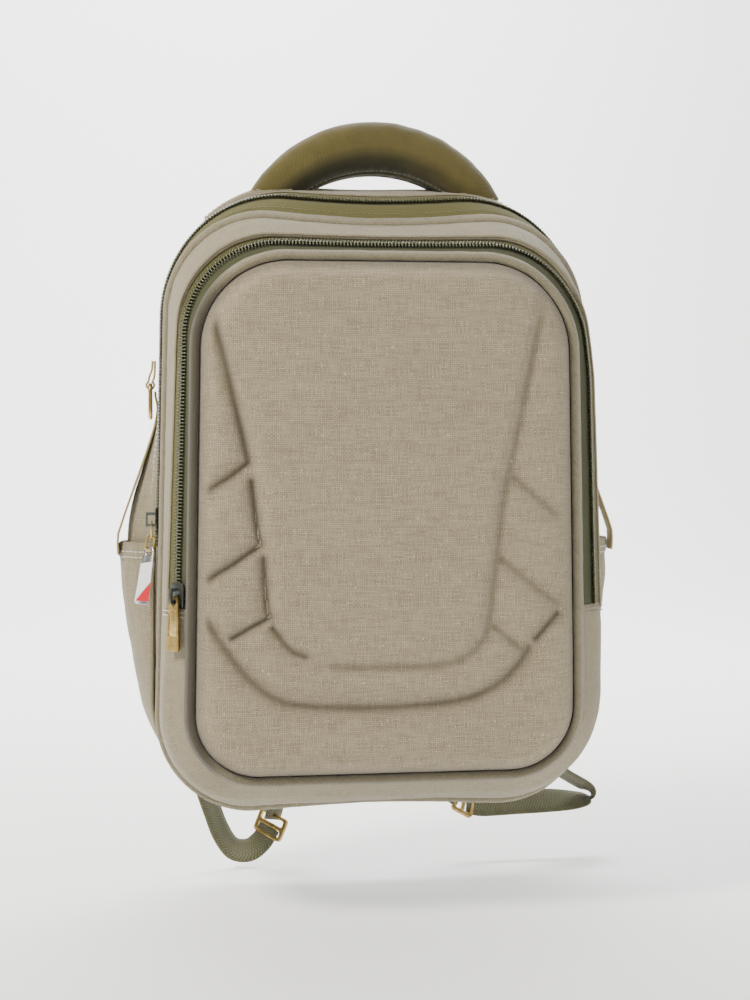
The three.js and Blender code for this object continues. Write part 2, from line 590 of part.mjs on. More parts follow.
// ---------------------------------------------------------------- zip sliders and pullers
// Frame of a zip on the left side of the bag at a height: origin on the outline, along the zip, across it
// towards the front, and out of the surface.
function zipFrame(y, z) {
  const side = (depth, height) => {
    const s = sectionAt(depth);
    const share = (height - s.low - s.rBottom) / (s.high - s.rTop - s.low - s.rBottom);
    return point(-(s.bottom + share * (s.top - s.bottom)), depth, height);
  };
  const origin = side(y, z);
  const up = side(y, z + 10).sub(side(y, z - 10)).normalize();
  const toFront = side(y - 3, z).sub(side(y + 3, z)).normalize();
  const out = toFront.clone().cross(up).normalize();
  const across = up.clone().cross(out).normalize();
  const matrix = new THREE.Matrix4().makeBasis(across, up, out).setPosition(origin);
  return { origin, up, out, across, matrix };
}

const SLIDER = { width: 12, length: 17, plate: 1.6, neck: 0.5 };
const CHAIN_TOP = CHAIN_STEP + 2 * GAP; // height of the slider's upper plate over the outline
const BAIL = { height: 6.4, wire: 2, half: 4 }; // the bridge that carries the puller

// Slider body: a plate over the chain, a plate under it, a thin neck in the slit and a bridge on top.
function sliderBody() {
  const low = CHAIN_STEP - CHAIN - 3 * GAP;
  const outline2 = roundedRectangle(0, 0, SLIDER.width, SLIDER.length, 3.5, 3);
  const settings = { depth: SLIDER.plate, bevelEnabled: false };
  const slab = (z) => new THREE.ExtrudeGeometry(new THREE.Shape(outline2), settings).translate(0, 0, z);
  const neck = block([-SLIDER.neck / 2, SLIDER.neck / 2], [-6, 6], [low - 0.5, CHAIN_TOP + 0.5]);
  const top = CHAIN_TOP + SLIDER.plate;
  const bridge = cut(
    block([-1.2, 1.2], [-BAIL.half - 1, BAIL.half + 1], [top - 0.4, top + BAIL.height]),
    block([-3, 3], [-BAIL.half + 1, BAIL.half - 1], [top, top + BAIL.height - 1.4]),
  );
  return join(join(join(slab(CHAIN_TOP), slab(low - SLIDER.plate)), neck), bridge);
}

// A flat tag with an eye at its upper end. It hangs towards -Y from the eye, which is at the origin.
function tag(eyeWidth, tailWidth, length, thickness, hole) {
  const top = eyeWidth / 2;
  const shape = new THREE.Shape();
  shape.absarc(0, 0, top, 0, Math.PI, false);
  shape.lineTo(-tailWidth / 2, -length + 2);
  shape.lineTo(-tailWidth / 2 + 2, -length);
  shape.lineTo(tailWidth / 2 - 2, -length);
  shape.lineTo(tailWidth / 2, -length + 2);
  const eye = new THREE.Path();
  eye.absarc(0, 0, hole, 0, 2 * Math.PI, true);
  shape.holes.push(eye);
  const settings = { depth: thickness, bevelEnabled: false, curveSegments: 8 };
  return new THREE.ExtrudeGeometry(shape, settings).translate(0, 0, -thickness / 2);
}

// A closed ring of wire lying in its local XY plane.
function wireRing(width, height, wire) {
  const shape = new THREE.Shape(roundedRectangle(0, 0, width, height, Math.min(width, height) / 2 - 0.1, 4));
  const [w, h] = [width - 2 * wire, height - 2 * wire];
  shape.holes.push(new THREE.Path(roundedRectangle(0, 0, w, h, Math.min(w, h) / 2 - 0.1, 4)));
  return new THREE.ExtrudeGeometry(shape, { depth: wire, bevelEnabled: false }).translate(0, 0, -wire / 2);
}

const FRONT_SLIDER_Z = 162;
const MAIN_SLIDER_Z = 209;
const FRONT_PULLER = { eye: 8, tail: 11, length: 33, thickness: 1.8, hole: 2.4, z: 5.2 };
const LINK = { width: 6.4, height: 13, wire: 1.3 };
const PULL_RING = { width: 7, height: 12, wire: 1.5 };
const PULL_LEAN = 0.2; // radians that the ring and tag lean away from the bag
const TAG = { eye: 9, tail: 14, length: 36, thickness: 1.6, hole: 2.4 };

function slidersAndPullers() {
  const front = zipFrame(FRONT_ZIP_Y, FRONT_SLIDER_Z);
  const main = zipFrame(MAIN_ZIP_Y, MAIN_SLIDER_Z);
  const place = (name, geometry, frame, material) => add(name, geometry, material).applyMatrix4(frame.matrix);
  place("front_slider", sliderBody(), front, GUNMETAL);
  place("main_slider", sliderBody(), main, GUNMETAL);
  // The front puller's eye goes round the bridge's lower leg.
  const p = FRONT_PULLER;
  const puller = tag(p.eye, p.tail, p.length, p.thickness, p.hole).translate(0, -BAIL.half - 0.2, p.z);
  place("front_puller", puller, front, BRONZE);
  // The main puller: a link on the bridge, a ring in the link and a tag on the ring.
  const top = CHAIN_TOP + SLIDER.plate;
  const linkAt = [0, -BAIL.half - LINK.height / 2 + 3.1, top + 2.2];
  const link = wireRing(LINK.width, LINK.height, LINK.wire).translate(...linkAt);
  place("main_puller_link", link, main, BRONZE);
  const ringAt = [0, linkAt[1] - LINK.height / 2 - PULL_RING.height / 2 + 3.2, linkAt[2]];
  const pivot = [0, linkAt[1] - LINK.height / 2 + LINK.wire / 2, linkAt[2]];
  const lean = (g) => g.translate(...pivot.map((v) => -v)).rotateX(-PULL_LEAN).translate(...pivot);
  const flatRing = wireRing(PULL_RING.width, PULL_RING.height, PULL_RING.wire);
  const ring = flatRing.rotateY(Math.PI / 2).translate(...ringAt);
  place("main_puller_ring", lean(ring), main, BRONZE);
  const tagAt = [0, ringAt[1] - PULL_RING.height / 2 - 0.6, ringAt[2]];
  const pull = tag(TAG.eye, TAG.tail, TAG.length, TAG.thickness, TAG.hole).translate(...tagAt);
  place("main_pull_tag", lean(pull), main, TAG_ENAMEL);
}

// ---------------------------------------------------------------- assembly
mainCompartment();
frontCompartment();
mouldedPanel();
badge();
carryHandle();
backPads();
slidersAndPullers();
for (const side of ["left", "right"]) {
  bottlePocket(side);
  sideTab(side);
  shoulderStrap(side);
  lowerStrap(side);
}

// The origin is the underside of the grip at its middle, where a hook holds the bag.
bag.position.set(0, -HANDLE_Y, -(HANDLE_FOOT_Z + HANDLE_RISE - HANDLE_R));
const part = new THREE.Group();
part.add(bag);
export default part;
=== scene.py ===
# %% [markdown]
# # A canvas flight bag
# The bag is worn on the back. From the back to the front it is a padded back panel, a canvas wall with a big zip in
# it, a second canvas wall with a second zip, and a panel that is moulded over foam. It hangs here from its carry
# handle, so its zip pullers and its loose lower straps hang straight down.
#
# The frame comes first. It holds the bodies that move, and one plain solid for each piece. Everything below is made
# in the same frame, in metres, and rides on those bodies.

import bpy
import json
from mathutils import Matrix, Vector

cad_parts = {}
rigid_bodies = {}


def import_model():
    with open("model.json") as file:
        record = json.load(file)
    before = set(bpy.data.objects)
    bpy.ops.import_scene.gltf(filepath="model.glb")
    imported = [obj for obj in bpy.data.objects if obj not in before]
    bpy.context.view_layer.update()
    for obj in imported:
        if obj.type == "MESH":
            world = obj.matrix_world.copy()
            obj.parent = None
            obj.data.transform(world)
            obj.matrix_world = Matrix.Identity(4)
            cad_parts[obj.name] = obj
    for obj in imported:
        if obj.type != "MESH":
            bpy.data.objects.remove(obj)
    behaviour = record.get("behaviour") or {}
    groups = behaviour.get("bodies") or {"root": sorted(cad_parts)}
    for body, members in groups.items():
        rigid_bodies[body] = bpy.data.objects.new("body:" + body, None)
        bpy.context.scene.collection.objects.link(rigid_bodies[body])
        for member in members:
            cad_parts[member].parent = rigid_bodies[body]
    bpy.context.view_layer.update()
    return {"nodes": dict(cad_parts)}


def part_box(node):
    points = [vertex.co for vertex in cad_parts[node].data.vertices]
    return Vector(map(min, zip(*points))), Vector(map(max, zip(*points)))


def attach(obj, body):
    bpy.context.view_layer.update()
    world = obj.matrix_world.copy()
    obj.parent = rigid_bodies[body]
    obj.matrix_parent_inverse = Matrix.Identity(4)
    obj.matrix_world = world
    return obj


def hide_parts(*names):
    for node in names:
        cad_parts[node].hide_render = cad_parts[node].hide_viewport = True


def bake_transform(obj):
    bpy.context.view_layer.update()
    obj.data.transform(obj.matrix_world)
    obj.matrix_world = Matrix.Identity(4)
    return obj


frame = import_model()

import json
import math

import bmesh
import bpy
import numpy as np
from mathutils import Matrix, Vector

# %% [markdown]
# ## Camera and light
# A soft key light from above and to the left of the camera, a wide fill and a weak rim light show the relief of the
# moulded panel without hard shadows. The camera looks at the bag from the front, a little from its left.

# %% Camera
CAMERA_AT = Vector((-0.1672, -1.2287, -0.1680))
CAMERA_LOOKS_AT = Vector((-0.0005, -0.0420, -0.2308))
SENSOR_MM = 36.0
LENS_MM = 61.82

lens = bpy.data.cameras.new("camera")
lens.sensor_fit = "VERTICAL"
lens.sensor_height = SENSOR_MM
lens.lens = LENS_MM
camera = bpy.data.objects.new("camera", lens)
camera.location = CAMERA_AT
camera.rotation_euler = (CAMERA_LOOKS_AT - CAMERA_AT).to_track_quat("-Z", "Y").to_euler()
bpy.context.scene.collection.objects.link(camera)
bpy.context.scene.camera = camera
print("camera", [round(v, 3) for v in camera.location])


# %% Lights
def area_light(name, at, size, watts, colour=(1, 1, 1), target=(0, 0, -0.24)):
    data = bpy.data.lights.new(name, "AREA")
    data.shape = "DISK"
    data.size = size
    data.energy = watts
    data.color = colour
    light = bpy.data.objects.new(name, data)
    light.location = at
    light.rotation_euler = (Vector(target) - Vector(at)).to_track_quat("-Z", "Y").to_euler()
    bpy.context.scene.collection.objects.link(light)
    return light


area_light("key", (-1.1, -0.62, 0.9), 0.45, 40, (1.0, 0.97, 0.90))
area_light("fill", (1.3, -1.3, 0.1), 1.2, 13, (0.96, 0.98, 1.0))
area_light("rim", (1.1, 0.9, 0.7), 1.2, 12)
area_light("backdrop", (0.0, 0.9, 1.5), 1.6, 150, target=(0, 2.8, 0.0))

world = bpy.data.worlds.new("studio")
bpy.context.scene.world = world
world.use_nodes = True
world.node_tree.nodes["Background"].inputs["Color"].default_value = (1, 1, 1, 1)
world.node_tree.nodes["Background"].inputs["Strength"].default_value = 0.31

# %% [markdown]
# ## Finishes
# Every finish is a small tree of nodes. Cloth reads its own UV map, which holds metres along and across the cloth,
# so threads follow the cloth round every bend. Two helpers keep the trees short. `Wire` wraps the output of a node,
# and Python's operators add Math nodes to it. `Finish` makes the material and any other node.


# %% Shader helpers
class Wire:
    def __init__(self, finish, socket):
        self.finish, self.socket = finish, socket

    def maths(self, operation, first, second=None):
        values = {0: first} if second is None else {0: first, 1: second}
        return self.finish.node("ShaderNodeMath", {"operation": operation}, values)

    def __add__(self, other):
        return self.maths("ADD", self, other)

    def __radd__(self, other):
        return self.maths("ADD", other, self)

    def __sub__(self, other):
        return self.maths("SUBTRACT", self, other)

    def __rsub__(self, other):
        return self.maths("SUBTRACT", other, self)

    def __mul__(self, other):
        return self.maths("MULTIPLY", self, other)

    def __rmul__(self, other):
        return self.maths("MULTIPLY", other, self)

    def __truediv__(self, other):
        return self.maths("DIVIDE", self, other)

    def __pow__(self, other):
        return self.maths("POWER", self, other)

    def __abs__(self):
        return self.maths("ABSOLUTE", self)

    def __mod__(self, other):
        return self.maths("FLOORED_MODULO", self, other)

    def __gt__(self, other):
        return self.maths("GREATER_THAN", self, other)

    def floor(self):
        return self.maths("FLOOR", self)

    def sine(self):
        return self.maths("SINE", self)


class Finish:
    """A material, its Principled shader, and one method that adds any node."""

    def __init__(self, name, **shader):
        self.material = bpy.data.materials.new(name)
        self.material.use_nodes = True
        self.tree = self.material.node_tree
        self.shader = self.tree.nodes["Principled BSDF"]
        for socket, value in shader.items():
            self.shader.inputs[socket.replace("_", " ")].default_value = value

    def node(self, kind, settings=None, values=None, output=0):
        made = self.tree.nodes.new(kind)
        for name, value in (settings or {}).items():
            if name == "stops":
                ramp = made.color_ramp
                while len(ramp.elements) < len(value):
                    ramp.elements.new(0.5)
                for element, (at, colour) in zip(ramp.elements, value):
                    element.position, element.color = at, colour
            else:
                setattr(made, name, value)
        for name, value in (values or {}).items():
            self.put(made.inputs[name], value)
        return Wire(self, made.outputs[output])

    def put(self, socket, value):
        if isinstance(value, Wire):
            self.tree.links.new(value.socket, socket)
        elif value is not None:
            socket.default_value = value

    def surface(self, **values):
        for name, value in values.items():
            self.put(self.shader.inputs[name.replace("_", " ")], value)

    def bump(self, height, distance, strength=1.0):
        settings = {"Height": height, "Distance": distance, "Strength": strength}
        self.surface(Normal=self.node("ShaderNodeBump", None, settings))

    def cloth_uv(self):
        uv = self.node("ShaderNodeUVMap", {"uv_map": "cloth"})
        parts = self.node("ShaderNodeSeparateXYZ", None, {0: uv}).socket.node
        return Wire(self, parts.outputs[0]), Wire(self, parts.outputs[1])

    def place(self):
        return self.node("ShaderNodeTexCoord", None, None, "Object")

    def combine(self, x, y, z=0.0):
        return self.node("ShaderNodeCombineXYZ", None, {0: x, 1: y, 2: z})

    def noise(self, vector, scale, detail=2.0, rough=0.5):
        values = {"Vector": vector, "Scale": scale, "Detail": detail, "Roughness": rough}
        return self.node("ShaderNodeTexNoise", None, values)

    def mix(self, factor, first, second, blend="MIX"):
        made = self.node("ShaderNodeMix", {"data_type": "RGBA", "blend_type": blend}, None, 2)
        mixer = made.socket.node
        self.put(mixer.inputs[0], factor)
        self.put(mixer.inputs[6], first)
        self.put(mixer.inputs[7], second)
        return made

    def ramp(self, value, *stops):
        stops = [(at, (*colour, 1)) for at, colour in stops]
        return self.node("ShaderNodeValToRGB", {"stops": stops}, {0: value})


def shade(colour, factor):
    return tuple(min(1.0, c * factor) for c in colour)


def shade_rgba(colour, factor):
    return (*shade(colour, factor), 1)


# %% [markdown]
# ### Canvas
# The bag's cloth is a plain weave. Warp threads run one way and weft threads the other, and at each crossing one of
# them is on top. The sum of the two thread numbers, modulo two, says which. Each thread has its own shade, which
# changes slowly along it, and pale slubs show here and there, so that the cloth looks heathered.


# %% Canvas
def canvas(name, light, dark, slub, pitch=0.00115, relief=0.0003, mottle=0.35, slubs=0.66, pressed=False):
    cloth = Finish(name, Sheen_Weight=0.25, Sheen_Roughness=0.55, Specular_IOR_Level=0.25)
    along, across = cloth.cloth_uv()
    u, v = along / pitch, across / pitch
    warp = (u * math.pi).sine()
    weft = (v * math.pi).sine()
    over = (u.floor() + v.floor()) % 2.0
    height = abs(warp) * over + abs(weft) * (1 - over)
    warp_tone = cloth.noise(cloth.combine(u.floor(), v * 0.09), 1.0, 1.0)
    weft_tone = cloth.noise(cloth.combine(u * 0.09, v.floor(), 7.3), 1.0, 1.0)
    tone = warp_tone * over + weft_tone * (1 - over)
    patches = cloth.noise(cloth.place(), 14.0, 4.0, 0.6)
    thread = cloth.ramp(tone, (0.30, dark), (0.62, light))
    worn = cloth.mix((patches - 0.5) * mottle + 0.5, shade_rgba(dark, 1.12), shade_rgba(light, 1.0))
    colour = cloth.mix(0.45, thread, worn)
    colour = cloth.mix((1 - height) * 0.8, colour, shade_rgba(dark, 0.42))
    pale = cloth.noise(cloth.combine(u * 0.6, v * 0.5), 1.0, 2.0, 0.7)
    colour = cloth.mix((pale > slubs) * 0.35, colour, (*slub, 1))
    # Painted shade: where a piece stores it, the cloth is drawn darker in its creases, on its rim and on its shaded
    # side.
    if pressed:
        painted_shade_in = cloth.node("ShaderNodeAttribute", {"attribute_name": "pressed"}, None, "Fac")
        colour = cloth.mix(painted_shade_in, colour, shade_rgba(dark, 0.30))
    cloth.surface(Base_Color=colour, Roughness=0.82 + 0.16 * tone)
    cloth.bump(height + tone * 0.5, relief, 0.85)
    return cloth.material


CANVAS = canvas("canvas", (0.40, 0.34, 0.215), (0.205, 0.17, 0.095), (0.64, 0.58, 0.45))
CANVAS_MOULDED = canvas("canvas_moulded", (0.49, 0.405, 0.265), (0.20, 0.158, 0.09), (0.80, 0.72, 0.54),
                        pitch=0.00125, pressed=True)
CANVAS_PIPING = canvas("canvas_piping", (0.36, 0.31, 0.195), (0.18, 0.152, 0.088), (0.60, 0.55, 0.44), slubs=0.68,
                       pressed=True)
LINING = canvas("lining", (0.17, 0.15, 0.115), (0.09, 0.08, 0.06), (0.2, 0.18, 0.14), pitch=0.0005, relief=0.0001)
print("canvas finishes", CANVAS.name, CANVAS_MOULDED.name)

# %% [markdown]
# ### Webbing and zip tape
# Webbing is woven in chevrons. A ridge that runs along the strap leans left or right in turn, and its edges are a
# little darker. Zip tape is much finer: it has narrow ribs along its length.


# %% Webbing and tape
def webbing(name, light, dark, width=0.020, ridge=0.0021):
    strap = Finish(name, Sheen_Weight=0.2, Specular_IOR_Level=0.35)
    along, across = strap.cloth_uv()
    zigzag = abs((across / (width / 4)) % 2.0 - 1.0)
    ridges = abs(((along / ridge + zigzag * 1.3) * math.pi).sine())
    grain = strap.noise(strap.combine(along * 900, across * 2600), 1.0, 2.0)
    patches = strap.noise(strap.place(), 30.0, 3.0)
    tone = ridges * 0.55 + grain * 0.35 + patches * 0.25
    strap.surface(Base_Color=strap.ramp(tone, (0.25, dark), (0.85, light)), Roughness=0.62 + 0.25 * grain)
    strap.bump(ridges + 0.4 * grain, 0.00035, 0.9)
    return strap.material


def zip_tape(name, light, dark):
    tape = Finish(name, Sheen_Weight=0.15, Specular_IOR_Level=0.3)
    along, across = tape.cloth_uv()
    ribs = abs((across * (math.pi / 0.0011)).sine())
    knit = abs((along * (math.pi / 0.0009)).sine())
    grain = tape.noise(tape.combine(along * 700, across * 2200), 1.0, 2.0)
    tone = ribs * 0.45 + knit * 0.2 + grain * 0.4
    tape.surface(Base_Color=tape.ramp(tone, (0.2, dark), (0.85, light)), Roughness=0.7 + 0.25 * grain)
    tape.bump(ribs + 0.5 * knit, 0.0002, 0.8)
    return tape.material


OLIVE_WEBBING = webbing("olive_webbing", (0.135, 0.13, 0.065), (0.045, 0.045, 0.022))
KHAKI_WEBBING = webbing("khaki_webbing", (0.46, 0.36, 0.15), (0.22, 0.165, 0.06), width=0.012, ridge=0.0016)
OLIVE_TAPE = zip_tape("olive_tape", (0.135, 0.12, 0.032), (0.05, 0.048, 0.012))
# Painted shade: a darker copy of the olive tape, for tape that lies in shade, in the valley beside the front piping
# and under the handle.
DARK_TAPE = zip_tape("dark_tape", (0.07, 0.072, 0.026), (0.026, 0.028, 0.012))
print("webbing finishes", OLIVE_WEBBING.name, KHAKI_WEBBING.name)

# %% [markdown]
# ### Handle cloth, air mesh, thread and coil
# The handle is wrapped in a brushed olive-brown cloth. Its nap scatters light at grazing angles, which is what the
# sheen socket does. The pads on the back are spacer mesh, a cloth with rows of small holes.


# %% Other cloths and thread
def brushed_cloth():
    nap = Finish("handle_cloth", Sheen_Weight=0.5, Sheen_Roughness=0.45, Specular_IOR_Level=0.15)
    along, across = nap.cloth_uv()
    twill = abs(((along + across * 0.6) * (math.pi / 0.0011)).sine())
    hair = nap.noise(nap.combine(along * 1500, across * 1500), 1.0, 3.0, 0.7)
    patches = nap.noise(nap.place(), 45.0, 4.0, 0.6)
    tone = twill * 0.25 + hair * 0.55 + patches * 0.3
    colour = nap.ramp(tone, (0.3, (0.03, 0.024, 0.006)), (0.8, (0.15, 0.12, 0.035)))
    # Painted shade: the sleeve is drawn darker on the palm side under the grip, where a piece stores it.
    painted_shade_in = nap.node("ShaderNodeAttribute", {"attribute_name": "pressed"}, None, "Fac")
    colour = nap.mix(painted_shade_in, colour, (0.012, 0.013, 0.008, 1))
    nap.surface(Base_Color=colour, Roughness=0.85 + 0.1 * hair)
    nap.bump(hair + twill * 0.6, 0.0003, 0.9)
    return nap.material


def air_mesh():
    pad = Finish("air_mesh", Sheen_Weight=0.3, Specular_IOR_Level=0.2)
    along, across = pad.cloth_uv()
    row = (across / 0.0032).floor() % 2.0
    a = ((along / 0.0036 + row * 0.5) % 1.0) - 0.5
    b = ((across / 0.0032) % 1.0) - 0.5
    far = (a * a + b * b) ** 0.5
    hole = 1 - (far > 0.27)
    colour = pad.mix(hole, (0.085, 0.085, 0.06, 1), (0.012, 0.012, 0.01, 1))
    pad.surface(Base_Color=colour, Roughness=0.9 - 0.1 * hole)
    pad.bump(far * 2, 0.0006, 0.9)
    return pad.material


def thread(name, colour):
    sewn = Finish(name, Sheen_Weight=0.2)
    twist = sewn.noise(sewn.place(), 2500.0, 2.0)
    sewn.surface(Base_Color=sewn.ramp(twist, (0.3, shade(colour, 0.7)), (0.7, colour)), Roughness=0.6 + 0.2 * twist)
    return sewn.material


HANDLE_CLOTH = brushed_cloth()
AIR_MESH = air_mesh()
WHITE_THREAD = thread("white_thread", (0.80, 0.76, 0.66))
TAN_THREAD = thread("tan_thread", (0.52, 0.42, 0.24))
OLIVE_THREAD = thread("olive_thread", (0.20, 0.19, 0.09))
print("cloths", HANDLE_CLOTH.name, AIR_MESH.name)

# %% [markdown]
# ### Metal, enamel and board
# The pullers are antique brass: polished high spots over a brown patina. A coarse noise lays the patina and a fine
# one scratches it.


# %% Metals
def metal(name, bright, dull, rough=(0.22, 0.5), patina=90.0):
    cast = Finish(name, Metallic=1.0)
    spots = cast.noise(cast.place(), patina, 4.0, 0.6)
    scratches = cast.noise(cast.place(), 1400.0, 2.0)
    tone = spots * 0.75 + scratches * 0.3
    cast.surface(Base_Color=cast.ramp(tone, (0.35, dull), (0.65, bright)))
    cast.surface(Roughness=rough[0] + (rough[1] - rough[0]) * (1 - spots))
    cast.bump(scratches, 0.00004, 0.5)
    return cast.material


def enamel(name, colour, rough=0.18):
    glaze = Finish(name, Coat_Weight=0.6, Coat_Roughness=0.08)
    speck = glaze.noise(glaze.place(), 500.0, 2.0)
    glaze.surface(Base_Color=glaze.ramp(speck, (0.3, shade(colour, 0.93)), (0.7, colour)))
    glaze.surface(Roughness=rough + 0.1 * speck)
    return glaze.material


def plain(name, colour, rough, **shader):
    moulded = Finish(name, **shader)
    grain = moulded.noise(moulded.place(), 900.0, 3.0)
    moulded.surface(Base_Color=moulded.ramp(grain, (0.3, shade(colour, 0.8)), (0.7, colour)))
    moulded.surface(Roughness=rough + 0.15 * grain)
    moulded.bump(grain, 0.0001, 0.4)
    return moulded.material


BRONZE = metal("bronze", (0.62, 0.43, 0.15), (0.20, 0.13, 0.04))
BRASS = metal("brass", (0.83, 0.62, 0.25), (0.42, 0.28, 0.09), (0.16, 0.35))
GUNMETAL = metal("gunmetal", (0.16, 0.17, 0.15), (0.045, 0.05, 0.045), (0.25, 0.45))
SILVER = metal("silver", (0.80, 0.80, 0.78), (0.42, 0.43, 0.43), (0.14, 0.34))
WHITE_ENAMEL = enamel("white_enamel", (0.90, 0.90, 0.88))
RED_ENAMEL = enamel("red_enamel", (0.62, 0.02, 0.03))
GREY_ENAMEL = enamel("grey_enamel", (0.30, 0.35, 0.42))
COIL = plain("zip_coil", (0.085, 0.085, 0.038), 0.2, Coat_Weight=0.5, Coat_Roughness=0.15)
BOARD = plain("board", (0.035, 0.035, 0.033), 0.7)
print("finishes", len(bpy.data.materials))

# %% [markdown]
# ## The bag's outline
# Every wall of the bag follows one outline, which changes slowly from the back to the front. It is kept as a table
# of sections, in millimetres on the bag: x across, y from 0 at the back panel to about -155 at the front, z up from
# the base. `outline` reads the table at any depth and walks round the bag from the middle of the base, up the right
# side, over the top and down the left side. All bag numbers go through `to_frame`, which moves the origin to the
# underside of the carry handle.

# %% Sections and outline
HANDLE_DEPTH, HANDLE_UNDERSIDE = 44.0, 453.0
#          depth  top bottom low high  round corners  dip belly
SECTIONS = np.array(
    [
        [0, 142, 148, 7, 440, 94, 74, 2, 12],
        [-9, 145, 151, 4, 443, 97, 76, 2, 15],
        [-40, 147, 153, 4, 446, 98, 78, 3, 16],
        [-66, 147, 153, 4, 440, 94, 78, 5, 16],
        [-80, 147, 153, 6, 432, 84, 74, 6, 11],
        [-91, 144, 151, 9, 419, 70, 66, 6, 4],
        [-106, 142, 151, 14, 412, 68, 61, 4, 1],
        [-119, 139, 149, 21, 404, 66, 56, 2, 0],
        [-138, 127, 131.5, 37, 387, 62, 46, 0, 0],
    ],
    float,
)[::-1]
BASE_MIDDLE_WIDTH = 120.0
CHEEK = ([-138, -134, -124, -108, -94], [1.2, 3.5, 7.5, 5.5, 0.0])  # the full right cheek of the front, by depth
SWELL = 12.0  # how far the sides puff out behind the pockets


def smooth_step(value, start, end):
    t = np.clip((np.asarray(value, float) - start) / (end - start), 0, 1)
    return t * t * (3 - 2 * t)


def bell(value, width):
    return np.exp(-((value / width) ** 2))


def to_frame(points):
    return (np.asarray(points, float) + (0, HANDLE_DEPTH, -HANDLE_UNDERSIDE)) * 0.001


def section(depth, inset=0.0):
    top, bottom, low, high, r_top, r_bottom, dip, belly = (
        np.interp(depth, SECTIONS[:, 0], column) for column in SECTIONS.T[1:]
    )
    radii = max(r_top - inset, 8), max(r_bottom - inset, 8)
    return top - inset, bottom - inset, low + inset, high - inset, *radii, dip, belly


def half_outline(depth, inset):
    top, bottom, low, high, r_top, r_bottom, dip, belly = section(depth, inset)
    angle = np.radians(np.linspace(0, 90, 40))
    flat = np.linspace(0, 1, 30, endpoint=False)
    side = np.linspace(0, 1, 60, endpoint=False)[1:]
    x = np.concatenate([
        flat * (bottom - r_bottom), bottom - r_bottom + r_bottom * np.sin(angle),
        bottom + (top - bottom) * side, top - r_top + r_top * np.cos(angle), (top - r_top) * (1 - flat[1:]), [0.0],
    ])
    z = np.concatenate([
        0 * flat + low, low + r_bottom - r_bottom * np.cos(angle),
        low + r_bottom + (high - r_top - low - r_bottom) * side, high - r_top + r_top * np.sin(angle),
        0 * flat[1:] + high, [high],
    ])
    over = np.clip((z - (high - r_top)) / r_top, 0, None)
    z = z - dip * (0.5 + 0.5 * np.cos(np.pi * np.clip(x / (0.85 * top), 0, 1))) * over
    under = (z < low + r_bottom) & (x < BASE_MIDDLE_WIDTH)
    z = z + np.where(under, belly * np.cos(np.pi / 2 * x / BASE_MIDDLE_WIDTH) ** 2, 0)
    behind = (-12 - depth) / 56
    if 0 < behind < 1:
        height = np.where(z < 190, (z - 40) / 150, (300 - z) / 110)
        swell = SWELL * math.sin(math.pi * behind) * np.sin(np.pi / 2 * np.clip(height, 0, 1)) ** 2
        x = x + np.where(height > 0, swell, 0) * (x > 60)
    return np.column_stack([x, z])


def walk(points, at):
    """Points at those distances along a polyline."""
    steps = np.r_[0, np.cumsum(np.linalg.norm(np.diff(points, axis=0), axis=1))]
    return np.column_stack([np.interp(at, steps, column) for column in points.T])


def length_of(points):
    return float(np.linalg.norm(np.diff(points, axis=0), axis=1).sum())


def outline(depth, inset=0.0, count=320, part="all", cut=0.0, stand=0.0):
    """Points round the bag, or only those above or below a height, moved outwards by stand."""
    right = half_outline(depth, inset)
    left = right[::-1] * (-1, 1)
    ring = np.vstack([right, left[1:]])
    cheek = np.interp(depth, *CHEEK) * smooth_step(ring[:, 1], 30, 120) * (1 - smooth_step(ring[:, 1], 300, 385))
    ring[:, 0] += cheek * smooth_step(ring[:, 0], 60, 120)
    total = length_of(ring)
    if part == "all":
        at = np.linspace(0, total, count, endpoint=False)
    else:
        steps = np.r_[0, np.cumsum(np.linalg.norm(np.diff(ring, axis=0), axis=1))]
        half = len(right)
        rise = np.interp(cut, np.maximum.accumulate(right[:, 1]), steps[:half])
        at = np.linspace(rise, total - rise, count)
        if part == "below":
            at = np.linspace(total - rise, total + rise, count) % total
    points = walk(ring, at)
    if stand:
        step = 1.0
        before, after = walk(ring, (at - step) % total), walk(ring, (at + step) % total)
        along = after - before
        along /= np.linalg.norm(along, axis=1)[:, None]
        points = points + stand * np.column_stack([along[:, 1], -along[:, 0]])
    return points


print("round the bag at the middle piping", round(length_of(outline(-91))), "mm")

# %% [markdown]
# ## Pieces from rows of points
# Most of the bag is cloth that runs round the outline, or a strip that runs along a path. Both are a grid of points:
# rows across the strip, columns along it. `shell` turns such a grid into a closed solid with a UV map in metres. The
# rows form a closed loop round the strip's section, and the ends are capped. `ripple` is a smooth, repeatable
# noise made of a few waves, and moves cloth in and out so that it isn't flat.


# %% Mesh helpers
def ripple(points, size, seed=0.0):
    """Smooth noise from -1 to 1 at each point, with bumps about that many millimetres across."""
    p = np.asarray(points, float) * (2 * math.pi / size)
    total = np.zeros(p.shape[:-1])
    for i in range(1, 6):
        a, b, c = math.sin(12.9 * i + seed), math.sin(78.2 * i + 2 * seed), math.sin(37.7 * i + 3 * seed)
        swirl = np.sin(p[..., 0] * b * 0.6 + p[..., 2] * a * 0.7 + 2.1 * i)
        total += np.sin(p[..., 0] * a + p[..., 1] * b + p[..., 2] * c + 1.3 * swirl + 5 * math.sin(i * 3.3 + seed))
    return total / 5


def finished(name, mesh, finishes, body=None, stands_for=(), slot=None, smooth=True):
    """A new piece from a mesh: its finishes, the body that it rides on and the CAD nodes that it stands for."""
    made = bpy.data.objects.new(name, mesh)
    bpy.context.scene.collection.objects.link(made)
    for finish in finishes if isinstance(finishes, (list, tuple)) else [finishes]:
        mesh.materials.append(finish)
    mesh.polygons.foreach_set("use_smooth", [smooth] * len(mesh.polygons))
    if stands_for:
        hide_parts(*stands_for)
    if body:
        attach(made, body)
    return made


